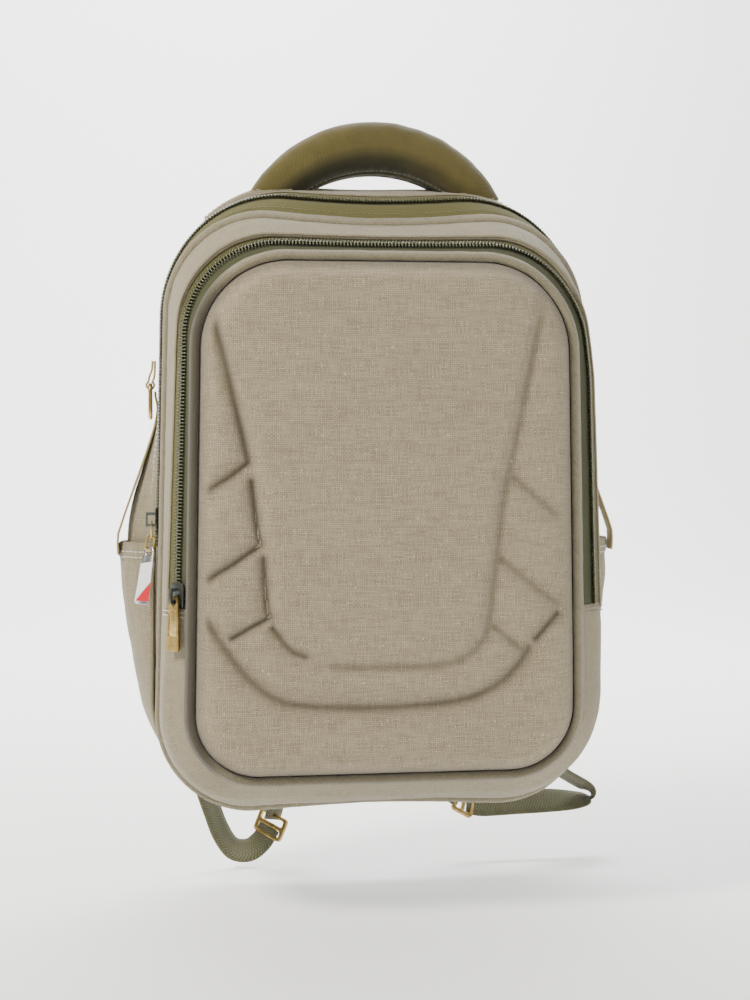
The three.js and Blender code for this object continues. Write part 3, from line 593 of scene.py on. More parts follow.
def shell(name, grid, finishes, closed=False, solid=True, uv_turn=0.0, pressed=None, **settings):
    """A grid of points (rows, columns, 3) in bag millimetres. Rows close into a loop if solid, columns if closed."""
    grid = np.asarray(grid, float)
    rows, columns = grid.shape[:2]
    mesh = bpy.data.meshes.new(name)
    index = np.arange(rows * columns).reshape(rows, columns)
    row_steps = rows if solid else rows - 1
    column_steps = columns if closed else columns - 1
    faces, corners = [], []
    wide = np.linalg.norm(np.roll(grid, -1, 0) - grid, axis=2).mean(1)
    long = np.linalg.norm(np.roll(grid, -1, 1) - grid, axis=2).mean(0)
    v = np.r_[0, np.cumsum(wide)] * 0.001
    u = np.r_[0, np.cumsum(long)] * 0.001
    for i in range(row_steps):
        for j in range(column_steps):
            k, l = (i + 1) % rows, (j + 1) % columns
            faces.append((index[i, j], index[i, l], index[k, l], index[k, j]))
            corners += [(u[j], v[i]), (u[j + 1], v[i]), (u[j + 1], v[i + 1]), (u[j], v[i + 1])]
    if solid and not closed:
        for j, order in ((0, 1), (columns - 1, -1)):
            faces.append(tuple(index[::order, j]))
            corners += [(grid[i, j, 0] * 0.001, grid[i, j, 2] * 0.001) for i in range(rows)[::order]]
    mesh.from_pydata(to_frame(grid.reshape(-1, 3)), [], faces)
    layer = mesh.uv_layers.new(name="cloth")
    turned = np.array(corners) @ np.array(Matrix.Rotation(uv_turn, 2))
    layer.data.foreach_set("uv", turned.astype(np.float32).ravel())
    if pressed is not None:
        darker = mesh.attributes.new("pressed", "FLOAT", "POINT")
        darker.data.foreach_set("value", np.asarray(pressed(grid), np.float32).ravel())
    return finished(name, mesh, finishes, **settings)


def hoop(name, profile, finishes, count=320, part="all", cut=0.0, bumps=None, **settings):
    """Cloth round the bag. The profile is a loop of (depth, stand off the outline), outer face first."""
    grid = []
    for depth, stand in profile:
        ring = outline(depth, 0, count, part, cut, stand)
        grid.append(np.column_stack([ring[:, 0], np.full(count, depth), ring[:, 1]]))
    grid = np.array(grid)
    if bumps is not None:
        grid = bumps(grid, outward(grid))
    return shell(name, grid, finishes, closed=part == "all", **settings)


def outward(grid):
    """The direction off the outline at each point, in the plane of its ring."""
    along = np.roll(grid, -1, 1) - np.roll(grid, 1, 1)
    if np.linalg.norm(grid[0, 0] - grid[0, -1]) > 30:
        along[:, 0], along[:, -1] = grid[:, 1] - grid[:, 0], grid[:, -1] - grid[:, -2]
    along[..., 1] = 0
    along /= np.linalg.norm(along, axis=2)[..., None]
    return np.stack([along[..., 2], 0 * along[..., 1], -along[..., 0]], axis=2)


def wall_profile(back, front, thick, rows, stand=0.0):
    """Outer face from back to front, then the inner face from front to back."""
    depths = np.linspace(back, front, rows)
    return [(d, stand) for d in depths] + [(d, stand - thick) for d in depths[::-1]]


def tube_profile(depth, radius, steps=12):
    turns = [2 * math.pi * i / steps for i in range(steps)]
    return [(depth + radius * math.cos(t), radius * math.sin(t)) for t in turns]


print("helpers ready")

# %% [markdown]
# ## One tree for everything that repeats along a path
# Zip teeth, stitches and bar tacks are the same small piece, again and again along a line. A Geometry Nodes tree does
# that: it turns a guide line into a curve, places points at an even pitch, sets the piece on each point and turns it
# twice. Its Z axis first points off the cloth, and then its X axis along the line. The direction off the cloth is
# stored on the guide as an attribute. The tree ends in Realize Instances, and the result becomes a plain mesh.


# %% Repeat along a path
def repeating_tree():
    tree = bpy.data.node_groups.new("repeat_along_path", "GeometryNodeTree")
    face = tree.interface
    for name, kind in (("Guide", "Geometry"), ("Pitch", "Float"), ("Piece", "Object"), ("Finish", "Material")):
        face.new_socket(name, in_out="INPUT", socket_type="NodeSocket" + kind)
    face.new_socket("Result", in_out="OUTPUT", socket_type="NodeSocketGeometry")

    def node(kind, **settings):
        made = tree.nodes.new(kind)
        for key, value in settings.items():
            setattr(made, key, value)
        return made

    def link(source, target):
        tree.links.new(source, target)

    given, result = node("NodeGroupInput"), node("NodeGroupOutput")
    curve, spread = node("GeometryNodeMeshToCurve"), node("GeometryNodeResampleCurve", mode="LENGTH")
    off, tangent = node("GeometryNodeInputNamedAttribute", data_type="FLOAT_VECTOR"), node("GeometryNodeInputTangent")
    off.inputs["Name"].default_value = "off"
    upright = node("FunctionNodeAlignRotationToVector", axis="Z")
    facing = node("FunctionNodeAlignRotationToVector", axis="X", pivot_axis="Z")
    piece, place_all = node("GeometryNodeObjectInfo"), node("GeometryNodeInstanceOnPoints")
    realize, paint = node("GeometryNodeRealizeInstances"), node("GeometryNodeSetMaterial")
    link(given.outputs["Guide"], curve.inputs[0])
    link(curve.outputs[0], spread.inputs["Curve"])
    link(given.outputs["Pitch"], spread.inputs["Length"])
    link(off.outputs[0], upright.inputs["Vector"])
    link(upright.outputs[0], facing.inputs["Rotation"])
    link(tangent.outputs[0], facing.inputs["Vector"])
    link(spread.outputs[0], place_all.inputs["Points"])
    link(given.outputs["Piece"], piece.inputs["Object"])
    link(piece.outputs["Geometry"], place_all.inputs["Instance"])
    link(facing.outputs[0], place_all.inputs["Rotation"])
    link(place_all.outputs[0], realize.inputs[0])
    link(realize.outputs[0], paint.inputs["Geometry"])
    link(given.outputs["Finish"], paint.inputs["Material"])
    link(paint.outputs[0], result.inputs[0])
    return tree


REPEAT = repeating_tree()
INPUTS = {s.name: s.identifier for s in REPEAT.interface.items_tree if s.item_type == "SOCKET"}


def guide_mesh(paths):
    """One mesh of lines. A path is a pair: points in bag millimetres, and a direction off the cloth at each."""
    mesh = bpy.data.meshes.new("guide")
    points = np.vstack([np.asarray(p, float) for p, _ in paths])
    off = np.vstack([np.asarray(o, float) for _, o in paths])
    edges, start = [], 0
    for path, _ in paths:
        edges += [(start + i, start + i + 1) for i in range(len(path) - 1)]
        start += len(path)
    mesh.from_pydata(to_frame(points), edges, [])
    stored = mesh.attributes.new("off", "FLOAT_VECTOR", "POINT")
    stored.data.foreach_set("vector", off.astype(np.float32).ravel())
    return mesh


def repeat(name, paths, pitch, piece, finish, body, slot=None, stands_for=()):
    """The piece at an even pitch along each path, as one plain mesh that rides on a body."""
    guide = bpy.data.objects.new(name + "_guide", guide_mesh(paths))
    bpy.context.scene.collection.objects.link(guide)
    maker = guide.modifiers.new("repeat", "NODES")
    maker.node_group = REPEAT
    maker[INPUTS["Pitch"]], maker[INPUTS["Piece"]], maker[INPUTS["Finish"]] = pitch * 0.001, piece, finish
    bpy.context.view_layer.update()
    evaluated = guide.evaluated_get(bpy.context.evaluated_depsgraph_get())
    mesh = bpy.data.meshes.new_from_object(evaluated)
    bpy.data.objects.remove(guide)
    mesh.name = name
    mesh.materials.clear()
    return finished(name, mesh, finish, body=body, slot=slot, stands_for=stands_for)


def tube_faces(loops, count, closed=False):
    """The faces that join loops of count points one after another, with end caps unless the loops close."""
    faces = [
        (i * count + k, i * count + (k + 1) % count, (i + 1) % loops * count + (k + 1) % count,
         (i + 1) % loops * count + k)
        for i in range(loops if closed else loops - 1)
        for k in range(count)
    ]
    if not closed:
        faces += [tuple(range(count - 1, -1, -1)), tuple((loops - 1) * count + k for k in range(count))]
    return faces


def pattern(name, points, faces):
    """A small piece in millimetres for the tree to repeat. It is not shown."""
    mesh = bpy.data.meshes.new(name)
    mesh.from_pydata(np.array(points) * 0.001, [], faces)
    mesh.polygons.foreach_set("use_smooth", [True] * len(mesh.polygons))
    made = bpy.data.objects.new(name, mesh)
    bpy.context.scene.collection.objects.link(made)
    made.hide_render = made.hide_viewport = True
    return made


def stitch(name, width, height, sections, sides=6):
    """A stitch along X: an oval section, thinner where it dips into the cloth at (x, scale)."""
    turns = [2 * math.pi * i / sides for i in range(sides)]
    points = [(x, scale * width / 2 * math.cos(t), scale * height / 2 * math.sin(t))
              for x, scale in sections for t in turns]
    return pattern(name, points, tube_faces(len(sections), sides))


STITCH = stitch("stitch_pattern", 0.75, 0.6, [(-1.5, 0.45), (-1.1, 1), (1.1, 1), (1.5, 0.45)])
SMALL_STITCH = stitch("small_stitch_pattern", 0.6, 0.5, [(-1.0, 0.5), (-0.7, 1), (0.7, 1), (1.0, 0.5)])
print("the repeat tree has inputs", sorted(INPUTS))

# %% [markdown]
# ## Canvas walls
# Two walls join the back, the middle and the front. On the real bag each is a strip of canvas sewn to a zip, with a
# wider strip round the base. Tension from the seams puts shallow puckers along the edges and a few slack waves in the
# middle. The waves are largest on the sides and smallest over the top, where the cloth is pulled tight.

# %% Walls and back panel
REAR_SEAM, MIDDLE_SEAM, FRONT_SEAM = -9.0, -91.0, -138.0
PIPING_R = 3.0
MAIN_ZIP, FRONT_ZIP = -73.5, -127.2
MAIN_ZIP_END, FRONT_ZIP_END = 192.0, 152.0
WALL = 2.4


def slack(seam_back, seam_front, amount=1.5, seed=0.0, overhang=0.0, cheeks=0.0):
    """Moves a wall in and out: waves in the middle of the strip, short puckers near its seams, full sides."""

    def move(grid, off):
        depth = grid[..., 1]
        middle = np.sin(np.pi * np.clip((seam_back - depth) / (seam_back - seam_front), 0, 1))
        wave = ripple(grid, 95, seed) * middle + 0.5 * ripple(grid, 40, seed + 4) * middle
        over = overhang * smooth_step(grid[..., 2], 300, 395) * smooth_step(-depth, -seam_back, -seam_front)
        grid = grid - np.stack([0 * over, over, 0 * over], axis=-1)
        near = bell(np.minimum(seam_back - depth, depth - seam_front), 7)
        pucker = near * ripple(grid * (1, 0.2, 1), 17, seed + 9) * 0.28
        high = smooth_step(grid[..., 2], 60, 185) * (1 - smooth_step(grid[..., 2], 195, 310))
        full = cheeks * high * bell(depth + 41, 15) * smooth_step(abs(grid[..., 0]), 60, 110)
        return grid + off * (amount * wave + pucker * min(1, amount) + full)[..., None]

    return move


back_edge, tape_edge = REAR_SEAM - PIPING_R - 0.3, MAIN_ZIP + 8.5
hoop(
    "main_wall_upper", wall_profile(back_edge, tape_edge, WALL, 16), CANVAS, 420, "above", MAIN_ZIP_END - 3,
    slack(back_edge, tape_edge, 1.0, 1.0, cheeks=9.5), body="bag", stands_for=["main_gusset_upper"], slot="canvas",
)
lower_edge = MIDDLE_SEAM + PIPING_R + 0.3
main_wall_lower = hoop(
    "main_wall_lower", wall_profile(back_edge, lower_edge, WALL, 26), CANVAS, 420, "below", MAIN_ZIP_END,
    slack(back_edge, lower_edge, 1.6, 2.0, cheeks=9.5), stands_for=["main_gusset_lower"], slot="canvas",
)
to_frame((0, -60, 0))
to_frame((0, -88, 0))
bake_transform(main_wall_lower)

front_back_edge, front_tape_edge = MIDDLE_SEAM - PIPING_R - 0.3, FRONT_ZIP + 7.2
hoop(
    "front_wall_upper", wall_profile(front_back_edge, front_tape_edge, WALL, 12), CANVAS, 420, "above",
    FRONT_ZIP_END - 3, slack(front_back_edge, front_tape_edge, 0.8, 3.0, 3.2), body="front_section",
    stands_for=["front_gusset_upper"], slot="canvas",
)
hoop(
    "front_wall_lower", wall_profile(front_back_edge, FRONT_SEAM + PIPING_R + 0.3, WALL, 16), CANVAS, 420, "below",
    FRONT_ZIP_END, slack(front_back_edge, FRONT_SEAM + 3, 1.2, 5.0), body="front_section",
    stands_for=["front_gusset_lower"], slot="canvas",
)
print("walls made")

# %% [markdown]
# ### Flat panels
# The back, the divider and the moulded front are panels. A panel is made of rings: they start as the outline, shrink
# inwards and end on a spine, which is a line up the middle. Rings on the outer face are joined to rings on the inner
# face at the edge. The UV map is the panel laid flat, so the weave isn't stretched on the rim.


# %% Panel helper
SPINE_IN = 125.0  # how far the spine's ends are from the panel's top and bottom


def to_spine(ring, low, high, share):
    spine = np.column_stack([0 * ring[:, 0], np.clip(ring[:, 1], low + SPINE_IN, high - SPINE_IN)])
    return ring * (1 - share) + spine * share


def panel(name, rings, finish, flat=None, outer_is_front=True, pressed=None, **settings):
    """A closed panel from rings of (count, 3) points: the outer face from its middle out, then the inner face."""
    grid = np.array(rings)
    flat = grid[..., (0, 2)] if flat is None else np.array(flat)
    if outer_is_front:
        grid, flat = grid[:, ::-1], flat[:, ::-1]
    rows, count = grid.shape[:2]
    index = np.arange(rows * count).reshape(rows, count)
    body = bmesh.new()
    laid, dark = body.verts.layers.float_vector.new("laid"), body.verts.layers.float.new("pressed")
    darker = np.zeros((rows, count)) if pressed is None else np.array(pressed)[:, :: -1 if outer_is_front else 1]
    verts = []
    for at, uv, shade_here in zip(to_frame(grid.reshape(-1, 3)), flat.reshape(-1, 2), darker.ravel()):
        verts.append(body.verts.new(at))
        verts[-1][laid] = (uv[0] * 0.001, uv[1] * 0.001, 0)
        verts[-1][dark] = float(shade_here)
    for i in range(rows - 1):
        for j in range(count):
            k = (j + 1) % count
            body.faces.new([verts[n] for n in (index[i, j], index[i, k], index[i + 1, k], index[i + 1, j])])
    for row in (0, rows - 1):  # both faces close along the spine
        bmesh.ops.remove_doubles(body, verts=[v for v in (verts[n] for n in index[row]) if v.is_valid], dist=2e-5)
    layer = body.loops.layers.uv.new("cloth")
    for face in body.faces:
        for loop in face.loops:
            loop[layer].uv = loop.vert[laid][:2]
    mesh = bpy.data.meshes.new(name)
    body.to_mesh(mesh)
    body.free()
    return finished(name, mesh, finish, **settings)


PLATE_SHARES = np.linspace(0, 1, 9)


def plate(name, back, front, inset, finish, outline_at, outer_is_front=True, bumps=None, **settings):
    """A flat panel between two depths."""
    count = 240
    low, high = section(outline_at)[2:4]
    edge = outline(outline_at, 0, count, stand=-inset)
    outer, inner = (front, back) if outer_is_front else (back, front)
    rings = []
    for depth, shares in ((outer, PLATE_SHARES[::-1]), (inner, PLATE_SHARES)):
        for share in shares:
            ring = to_spine(edge, low, high, share)
            rings.append(np.column_stack([ring[:, 0], np.full(count, depth), ring[:, 1]]))
    if bumps is not None:
        rings = bumps(np.array(rings))
    return panel(name, rings, finish, outer_is_front=outer_is_front, **settings)


def cushioned(grid):
    """The back panel's cloth sits over foam, so it swells a little between its seams."""
    grid = grid.copy()
    grid[: len(PLATE_SHARES), :, 1] += ripple(grid[: len(PLATE_SHARES)], 120, 2.0) * 0.25
    return grid


plate("back_cloth", -9, 0, PIPING_R + 0.3, CANVAS, -4, outer_is_front=False, bumps=cushioned, body="bag",
      stands_for=["back_panel"], slot="canvas")
plate("divider_panel", MIDDLE_SEAM + 1.5, MIDDLE_SEAM - 1.5, PIPING_R + 0.3, LINING, MIDDLE_SEAM,
      body="front_section", stands_for=["divider"], slot="lining")
print("panels made")

# %% [markdown]
# ## Piping
# A thick cord in a sleeve of the same canvas is sewn into each of the three seams. It is a tube round the outline.
# The sleeve is cut on the bias, so its threads run at 45 degrees, which is a turn of the UV map.

# %% Piping
BIAS = math.radians(45)


def lumpy(seed):
    return lambda grid, off: grid + off * (ripple(grid, 22, seed) * 0.22)[..., None]


for name, depth, body, node in (
    ("rear_cord", REAR_SEAM, "bag", "rear_piping"),
    ("middle_cord", MIDDLE_SEAM, "front_section", "middle_piping"),
):
    hoop(name, tube_profile(depth, PIPING_R), CANVAS_PIPING, 520, bumps=lumpy(depth), uv_turn=BIAS, body=body,
         stands_for=[node], slot="canvas")


def shadowed_side(grid):
    """Painted shade on the front cord: darker on the left, where it lies in a shaded valley beside the panel, and
    along the base.
    """
    left = smooth_step(-grid[..., 0], 96, 126) * (1 - smooth_step(grid[..., 2], 372, 386))
    base = 0.45 * (1 - smooth_step(grid[..., 2], 50, 80))
    return np.maximum(0.95 * left, base)


front_cord = hoop(
    "front_cord", tube_profile(FRONT_SEAM, PIPING_R), CANVAS_PIPING, 520, bumps=lumpy(4.0), uv_turn=BIAS,
    pressed=shadowed_side, stands_for=["front_piping_upper", "front_piping_lower"], slot="canvas",
)
FOLD_START, FOLD_END = to_frame((0, -110, 162)), to_frame((0, -110, 184))
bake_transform(front_cord)
print("piping made")

# %% [markdown]
# ## The moulded front
# Canvas is glued to a sheet of foam and pressed hot in a mould, which gives the front its shape. A raised shield
# fills the middle. Three pads step down each side of it, and a groove runs under it in a wide U. Rings less than two
# millimetres apart carry this relief. Each point's height comes from its distance to the mould's lines: the shield
# is a plateau with a soft edge, and each groove is a narrow crease in a wide valley. Shade is painted into the cloth:
# it is darker in a crease and on the rim beside the piping, where shade falls, and this painted shade is stored on
# each point as an attribute.

# %% Lines of the mould
SHIELD = [
    (-117, 350), (-110, 337), (-100, 301), (-89, 265), (-83, 232), (-80, 199), (-75, 156), (-70, 138), (-60, 126),
    (-43, 121), (-6, 120), (30, 120.5), (46, 124), (57, 133), (62, 146), (66, 180), (70, 214), (73, 235), (82, 276),
    (90, 317), (99, 360),
]
SHIELD_TOP = [(112, 440), (-130, 440)]  # closes the shield far above the panel
SHIELD_HIGH, SHIELD_CROWN, SHIELD_FOOT = 3.0, 0.35, 0.9
#           line of the groove, its depth and its half width
GROOVES = [
    ([(-118, 352), (-111, 330), (-102, 292), (-93, 251)], 1.5, 6.5),
    ([(-93, 251), (-107, 240), (-122, 231)], 1.7, 6.0),
    ([(-91, 238), (-87, 205), (-85, 198)], 1.6, 6.0),
    ([(-85, 197), (-103, 184), (-122, 172)], 1.7, 6.0),
    ([(-83, 187), (-81, 155), (-79, 149)], 1.6, 6.0),
    ([(-79, 149), (-92, 142), (-104, 135)], 1.5, 5.5),
    ([(-77, 141), (-66, 127), (-56, 122)], 1.4, 5.5),
    ([(-121, 147), (-110, 130), (-95, 110), (-80, 97), (-62, 90), (-20, 87), (22, 88), (53, 92), (74, 101),
      (89, 115), (95, 125)], 1.3, 7.5),
    ([(100, 131), (107, 139), (115, 148)], 1.5, 6.0),
    ([(84, 240), (98, 228), (113, 215)], 0.8, 6.5),
    ([(76, 185), (95, 170), (114, 155)], 0.8, 6.5),
    ([(71, 140), (82, 131), (93, 122)], 0.9, 6.0),
]


def spline(points, per=8):
    """A smooth line through the points."""
    p = np.asarray(points, float)
    p = np.vstack([2 * p[0] - p[1], p, 2 * p[-1] - p[-2]])
    made = []
    for a, b, c, d in zip(p, p[1:], p[2:], p[3:]):
        for t in np.linspace(0, 1, per, endpoint=False):
            cubic = (2 * a - 5 * b + 4 * c - d) * t**2 + (3 * b - a - 3 * c + d) * t**3
            made.append(0.5 * (2 * b + (c - a) * t + cubic))
    return np.array(made + [p[-2]])


def distance_to(points, line):
    best = np.full(points.shape[:-1], 1e9)
    for a, b in zip(line, line[1:]):
        along = b - a
        share = np.clip(((points - a) @ along) / (along @ along), 0, 1)
        best = np.minimum(best, np.linalg.norm(points - a - share[..., None] * along, axis=-1))
    return best


def inside(points, loop):
    hit = np.zeros(points.shape[:-1], bool)
    for (x1, z1), (x2, z2) in zip(loop, np.roll(loop, -1, 0)):
        if z1 != z2:
            crosses = (z1 > points[..., 1]) != (z2 > points[..., 1])
            hit ^= crosses & (points[..., 0] < x1 + (x2 - x1) * (points[..., 1] - z1) / (z2 - z1))
    return hit


def relief(points, inset):
    """How far the mould pushes the cloth out at each (x, z), in millimetres."""
    edge = spline(SHIELD)
    within = inside(points, np.vstack([edge, SHIELD_TOP]))
    signed = distance_to(points, edge) * np.where(within, 1, -1)
    height = SHIELD_HIGH * smooth_step(signed, -6.0, 4.0) + SHIELD_CROWN * smooth_step(signed, 3, 60)
    height -= SHIELD_FOOT * bell(signed + 6, 4)
    # crease is painted shade: how much darker the cloth is drawn in each groove and at the foot of the shield.
    valley, crease = np.zeros(points.shape[:-1]), np.zeros(points.shape[:-1])
    for line, depth, half in GROOVES:
        away = distance_to(points, spline(line, 4)) / half
        valley = np.maximum(valley, depth * (1.2 * bell(away, 0.36) + 1.35 * bell(away, 1.25)))
        crease = np.maximum(crease, min(depth, 1.5) / 1.5 * (0.8 * bell(away, 0.4) + 0.25 * bell(away, 1.1)))
    foot = 0.5 * bell(signed + 5.5, 3.0) * smooth_step(-points[..., 1], -370, -330)
    crease = np.maximum(crease, foot * np.where(points[..., 0] > -40, 1.0, 0.35))
    return (height - valley) * smooth_step(inset, 4, 13), crease * smooth_step(inset, 3, 9)


print("the mould has", len(GROOVES), "grooves")

# %% The moulded panel
PANEL_EDGE = 2.9  # from the front seam in to the panel
PANEL_STEPS = [(-134.5, 0.0), (-137, 0.3), (-139.8, 1.3), (-142.6, 2.9), (-145.4, 5.2), (-147.9, 8.4), (-149.8, 12.6),
               (-151.1, 20), (-151.8, 34), (-152.4, 55), (-152.9, 80)]
RIM_INSET, FLAT_INSET, FOAM = 12.0, 80.0, 4.0
PANEL_COUNT = 620


def panel_rings(steps, shares, count, foam=0.0):
    """Rings from the edge to the spine, with each ring's inset and its place on the cloth laid flat."""
    depths, insets = np.array(steps).T
    travel = np.r_[0, np.cumsum(np.hypot(np.diff(depths), np.diff(insets)))]
    laid = np.where(insets > RIM_INSET, insets, travel - np.interp(RIM_INSET, insets, travel) + RIM_INSET)
    low, high = section(FRONT_SEAM, PANEL_EDGE + FLAT_INSET)[2:4]
    rings, flats, reach = [], [], []
    for depth, inset, flat in zip(depths, insets, laid):
        ring = outline(FRONT_SEAM, PANEL_EDGE + inset + foam, count)
        rings.append(np.column_stack([ring[:, 0], np.full(count, depth + foam), ring[:, 1]]))
        flats.append(outline(FRONT_SEAM, PANEL_EDGE + flat, count))
        reach.append(np.full(count, inset))
    last = outline(FRONT_SEAM, PANEL_EDGE + FLAT_INSET + foam, count)
    spine = np.column_stack([0 * last[:, 0], np.clip(last[:, 1], low + 44, high - 44)])
    for share in shares:
        ring = last * (1 - share) + spine * share
        rings.append(np.column_stack([ring[:, 0], np.full(count, depths[-1] + foam - 0.4 * share), ring[:, 1]]))
        flats.append(ring)
        reach.append(np.full(count, FLAT_INSET))
    return np.array(rings), np.array(flats), np.array(reach)


fine_insets = np.r_[0, 0.1, 0.4, 0.9, 1.6, 2.5, 3.6, 4.9, 6.4, 8.1, 9.9, np.arange(11.7, 80, 1.75), 80]
step_depths, step_insets = np.array(spline(PANEL_STEPS, 12)).T
fine_steps = [(np.interp(i, np.maximum.accumulate(step_insets), step_depths), i) for i in fine_insets]
rings, flats, reach = panel_rings(fine_steps, np.linspace(0, 1, 26)[1:], PANEL_COUNT)
raised, crease = relief(rings[..., (0, 2)], reach)
rings[..., 1] -= raised
rings[..., 1] -= ripple(rings, 70, 6.0) * 0.18 * smooth_step(reach, 2, 12)
inner_steps = [(-133.5, 0.0), (-139, 1.5), (-145, 5.5), (-149.5, 12), (-151.5, 40), (-152, 80)]
inner, inner_flats, _ = panel_rings(inner_steps, np.linspace(0, 1, 6)[1:], PANEL_COUNT, FOAM)
# Painted shade for the moulded cloth: darker in the creases and on the rim beside the piping.
crease_and_rim_shade = np.maximum(0.85 * crease, 0.5 * (1 - smooth_step(reach, 0.5, 9)))
moulded_front = panel(
    "moulded_front", np.vstack([rings[::-1], inner]), CANVAS_MOULDED, np.vstack([flats[::-1], inner_flats]),
    pressed=np.vstack([crease_and_rim_shade[::-1], 0 * inner[..., 0]]),
    stands_for=["front_panel_upper", "front_panel_lower"], slot="canvas_moulded",
)
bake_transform(moulded_front)
print("moulded front:", len(moulded_front.data.polygons), "faces")

# %% [markdown]
# ## Zips
# Both zips are coil zips on olive tape. The tapes are walls like the canvas, but thinner. The coil is two rows of
# bent nylon loops that reach past each other in the middle. One loop is a small piece of 26 faces, and the
# repeating tree sets it at an even pitch. The second row starts half a pitch later, so the loops mesh.

# %% Zip tapes and coils
COIL_PITCH = 2.3
# out from the middle of the zip, half width along it, half height
LOOP_SECTIONS = [(-0.7, 0.5, 0.7), (-0.2, 0.78, 1.35), (1.5, 0.55, 1.1), (3.6, 0.6, 0.95), (4.3, 0.35, 0.4)]


def along_outline(depth, stand, cut, count=420, shift=0.0, part="above", tilt=0.0):
    """A guide round the bag above a height: its points and the direction off the cloth at each."""
    ring = outline(depth, 0, count, part, cut, stand)
    points = np.column_stack([ring[:, 0], np.full(count, depth), ring[:, 1]])
    along = np.gradient(points, axis=0)
    along /= np.linalg.norm(along, axis=1)[:, None]
    off = np.column_stack([along[:, 2], 0 * along[:, 1], -along[:, 0]])
    off *= np.sign((off * (points - (0, depth, 215))).sum())
    lean = (tilt * (1 - 0.75 * smooth_step(points[:, 0], 60, 125)))[:, None]
    off = off * np.cos(lean) - np.array([0, 1, 0]) * np.sin(lean)
    return points + along * shift, off


def coil_loop(name, side):
    """One loop of the coil, from its bend at the middle of the zip out to the tape. side is 1 to the front."""
    turns = [2 * math.pi * (k + 0.5) / 6 for k in range(6)]
    points = [(w * math.cos(t), side * y, h * math.sin(t)) for y, w, h in LOOP_SECTIONS for t in turns]
    return pattern(name, points, [f[::-side] for f in tube_faces(len(LOOP_SECTIONS), 6)])


REAR_LOOP, FRONT_LOOP = coil_loop("rear_loop_pattern", -1), coil_loop("front_loop_pattern", 1)
TAPE_THICK, TAPE_LOW = 1.1, -0.5
TAPE_BELOW = 6.0  # how far a tape runs below the end of its zip
COIL_STAND = 0.9


def waved_tape(grid, off):
    return grid + off * (ripple(grid, 30, 3.0) * 0.15)[..., None]


def ride_or_fold(piece, body):
    """A piece rides on its body; one with no body of its own keeps its place, with its transform baked into its mesh.
    """
    if body:
        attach(piece, body)
    else:
        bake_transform(piece)


zip_rows = (
    # zip, side of it, edges of the tape, place of the coil, its tilt, the end, the tape's finish, body
    ("main", "rear", tape_edge + 1.0, MAIN_ZIP + 0.5, MAIN_ZIP, 8, MAIN_ZIP_END, OLIVE_TAPE, "bag"),
    ("main", "front", MAIN_ZIP - 0.5, lower_edge, MAIN_ZIP, 8, MAIN_ZIP_END, OLIVE_TAPE, "front_section"),
    ("front", "outer", front_tape_edge + 1, FRONT_ZIP + 0.5, FRONT_ZIP, 32, FRONT_ZIP_END, OLIVE_TAPE,
     "front_section"),
    # The inner front tape takes the darker tape: painted shade in the valley beside the front piping.
    ("front", "inner", FRONT_ZIP - 0.5, FRONT_SEAM + 3.2, FRONT_ZIP, 32, FRONT_ZIP_END, DARK_TAPE, None),
)
for zip_name, side, back, front, _, _, end, finish, body in zip_rows:
    tape = hoop(
        f"{zip_name}_tape_{side}", wall_profile(back, front, TAPE_THICK, 7, TAPE_LOW), finish, 360, "above",
        end - TAPE_BELOW, waved_tape, stands_for=[f"{zip_name}_zip_tape_{side}"], slot="olive_tape",
    )
    ride_or_fold(tape, body)

for zip_name, side, _, _, depth, tilt, end, _, body in zip_rows:
    rear = side in ("rear", "outer")
    guide = along_outline(depth, COIL_STAND, end, shift=0.0 if rear else COIL_PITCH / 2, tilt=math.radians(tilt))
    coil = repeat(f"{zip_name}_coil_{side}", [guide], COIL_PITCH, REAR_LOOP if rear else FRONT_LOOP, COIL, None,
                  slot="zip_coil", stands_for=[f"{zip_name}_zip_chain_{side}"])
    ride_or_fold(coil, body)
    print(coil.name, len(coil.data.polygons), "faces")

# %% [markdown]
# ### Seams and stitches
# Canvas is folded under along each tape and sewn down with a row of tan stitches. A pale double row runs up each
# side beside the main zip, and two short pale rows close each end of the front zip. All of them are rows of the same
# short stitch, set by the tree.


# %% Rows of stitches
def end_rows(depths, low, high, stand):
    """The rows of a wall up one side between two heights, for both sides."""
    rows = []
    for depth in depths:
        points, off = along_outline(depth, stand, low, 600)
        for half in (points[:, 0] > 0, points[:, 0] < 0):
            keep = half & (points[:, 2] < high)
            rows.append((points[keep], off[keep]))
    return rows


def tack_rows(depths, heights, stand, tilt):
    """Short rows across a wall at set heights, for both sides."""
    rows = []
    for height in heights:
        ends = [along_outline(depth, stand, height, 420, tilt=tilt) for depth in np.linspace(*depths, 8)]
        for end in (0, -1):
            rows.append((np.array([e[0][end] for e in ends]), np.array([e[1][end] for e in ends])))
    return rows


repeat("front_end_tacks", tack_rows((-116.5, -132.5), (146.5, 149.5), 1.5, math.radians(25)), 2.6, STITCH,
       WHITE_THREAD, "front_section")
repeat("side_topstitches", end_rows((tape_edge + 5.5, tape_edge + 8.0), 176, 330, 1.2), 4.2, STITCH,
       WHITE_THREAD, "bag")
for name, depth, stand, end, finish, body in (
    ("main_rear_stitches", tape_edge + 2.5, 0.35, MAIN_ZIP_END, TAN_THREAD, "bag"),
    ("main_front_stitches", MAIN_ZIP - 10.5, -0.35, MAIN_ZIP_END, OLIVE_THREAD, "front_section"),
    ("front_outer_stitches", front_tape_edge + 2.2, 0.35, FRONT_ZIP_END, TAN_THREAD, "front_section"),
):
    repeat(name, [along_outline(depth, stand, end + 2)], 4.0, STITCH, finish, body)


